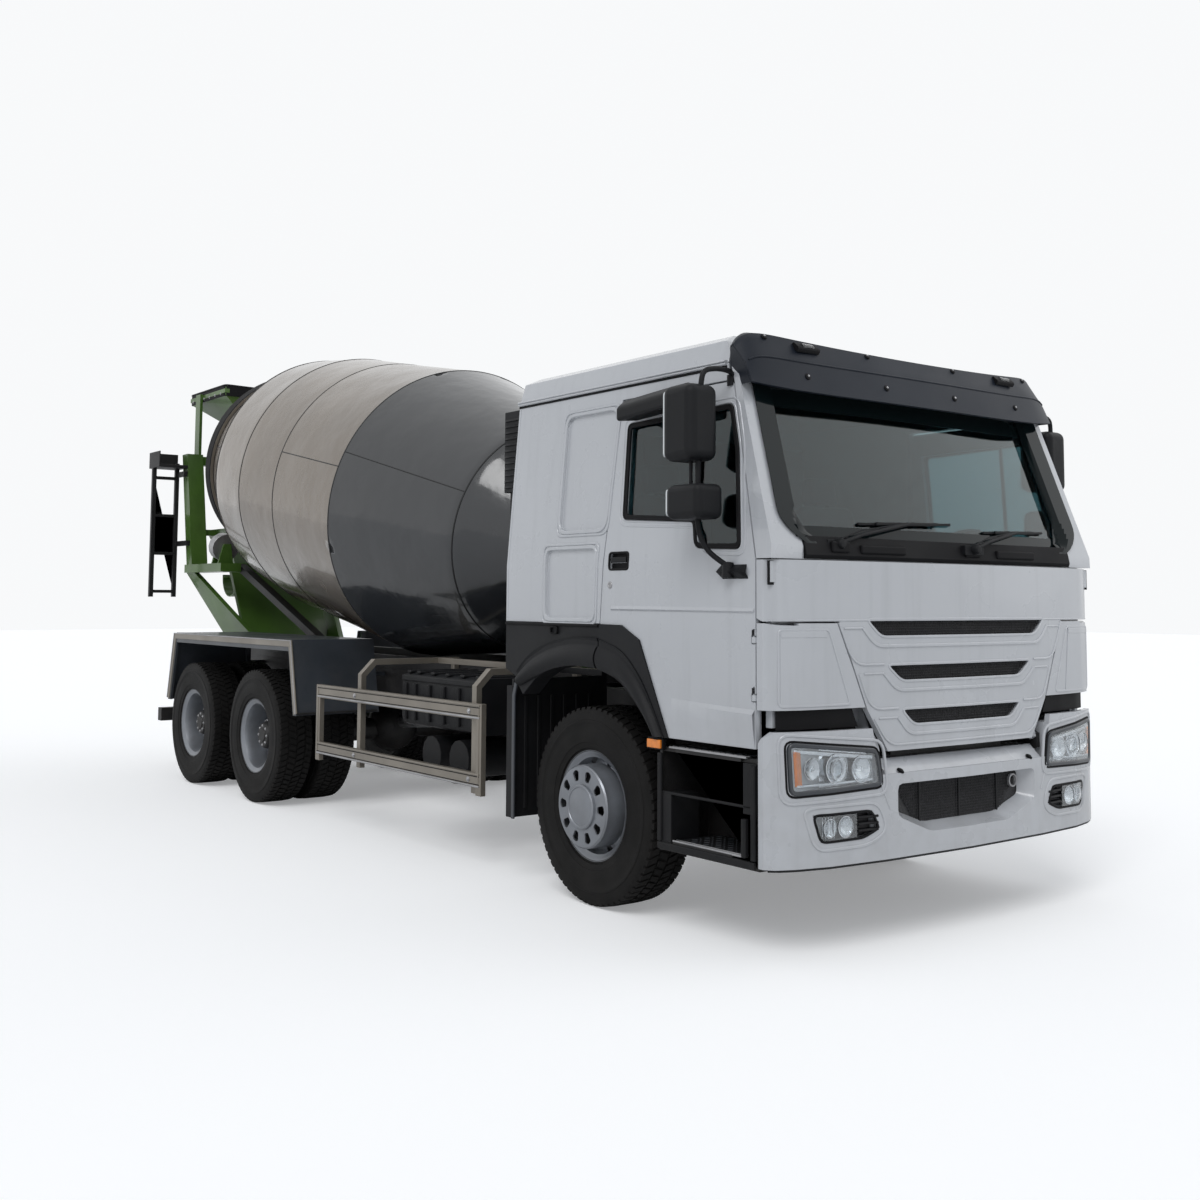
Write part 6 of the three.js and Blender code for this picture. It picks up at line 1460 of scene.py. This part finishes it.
TAIL_LAMPS = {"rubber_seal": [(0.76, 1.09, 6.930, 6.960, 0.460, 0.560)],
              "red_lens": [(0.775, 0.925, 6.955, 6.975, 0.472, 0.548),
                           (0.40, 0.48, 6.930, 6.938, 0.480, 0.540)],
              "amber_lens": [(0.930, 1.010, 6.955, 6.975, 0.472, 0.548)],
              "lamp_glass": [(1.015, 1.075, 6.955, 6.975, 0.472, 0.548)]}


def underrun_lamps():
    """The tail lamps on the underrun bar and the blank plate between them."""
    shapes = {finish: [side_box(side, *corners) for side in (RIGHT, LEFT) for corners in blocks]
              for finish, blocks in TAIL_LAMPS.items()}
    piece("tail_lamps", shapes, "rubber_seal", "chassis", 0.004)
    piece("plate_blank", box(at(-0.22, 6.930, 0.452), at(0.22, 6.936, 0.566)), "bright_rail", "chassis",
          0.002)


def tank_details():
    """The battery box's ribs, and the straps of the fuel and water tanks."""
    ribs = []
    for y in (1.40, 1.585, 1.77, 1.955, 2.14, 2.265):
        ribs.append(sweep([at(BATTERY_FACE, y, 0.80), at(BATTERY_FACE, y, 1.04)], strip(0.046, 0.014), -X))
        ribs.append(sweep([at(-1.03, y, 1.111), at(-0.58, y, 1.111)], strip(0.05, 0.012), Z))
    ribs.append(sweep([at(BATTERY_FACE, y, 1.075) for y in (1.345, 2.305)], strip(0.040, 0.012), -X))
    piece("battery_box_ribs", ribs, "black_plastic", "chassis", 0.004)
    outline = rounded([(0.517, 0.637), (1.123, 0.637), (1.123, 1.103), (0.517, 1.103)], 0.09)
    straps = [ring_band([at(x, y, z) for x, z in outline], 0.055, 0.008, Y) for y in (1.50, 1.93, 2.36)]
    filler = lathe([(-0.01, 0.0), (-0.01, 0.052), (0.012, 0.052), (0.016, 0.040), (0.030, 0.040),
                    (0.034, 0.0)], at(0.98, 1.42, 1.100), Z, 32)
    piece("fuel_tank_straps", {"bare_steel": straps, "rubber_seal": filler}, "bare_steel", "chassis", 0.001)
    bands = []
    for x in (0.45, 1.02):
        loop = [at(x, WATER_TANK_Y + y, WATER_TANK_Z + z) for y, z in disc(WATER_TANK_RADIUS, 40)]
        bands.append(ring_band(loop, 0.050, 0.008, X))
    piece("water_tank_straps", bands, "bare_steel", "chassis", 0.001)


def hopper_lip():
    """The rubber skirt and cord round the hopper's mouth, with its bolts."""
    outline = rounded([(-0.566, 6.894), (0.566, 6.894), (0.566, 7.832), (-0.566, 7.832)], 0.05)
    skirt = ring_band([at(x, y, 3.642) for x, y in outline], 0.105, 0.010, Z)
    cord = tube([at(x, y, 3.694) for x, y in outline], 0.011, 10, True)
    heads = [bolt(at(s * 0.572, 7.0 + 0.15 * i, 3.62), X * s, 0.010, 0.006)
             for s in (-1, 1) for i in range(6)]
    piece("hopper_lip", {"rubber_seal": [skirt, cord], "bare_steel": heads}, "rubber_seal", "chassis")


def chute_rims():
    """The rolled edges of the chute."""
    rims = [tube([at(x, CHUTE_Y + s * CHUTE_HALF, CHUTE_Z) for x in (-0.165, 1.145)], 0.012)
            for s in (-1, 1)]
    piece("chute_rims", rims, NODE_SLOTS["chute"], "chute")


def intake_louvres():
    """The slats on two faces of the air intake."""
    slats, slat = [], [(-0.010, -0.003), (0.012, -0.003), (-0.006, 0.010)]
    for z in (2.262 + 0.036 * i for i in range(12)):
        slats += [sweep([at(-1.150, 0.772, z), at(-1.150, 0.920, z)], slat, -X),
                  sweep([at(-1.135, 0.935, z), at(-1.015, 0.935, z)], slat, Y)]
    piece("air_intake_louvres", slats, "black_plastic", "cab")


for label, side in SIDES:
    fender_trim(label, side)
    guard_trim(label, side)
rear_wall_trim()
underrun_lamps()
tank_details()
hopper_lip()
chute_rims()
intake_louvres()
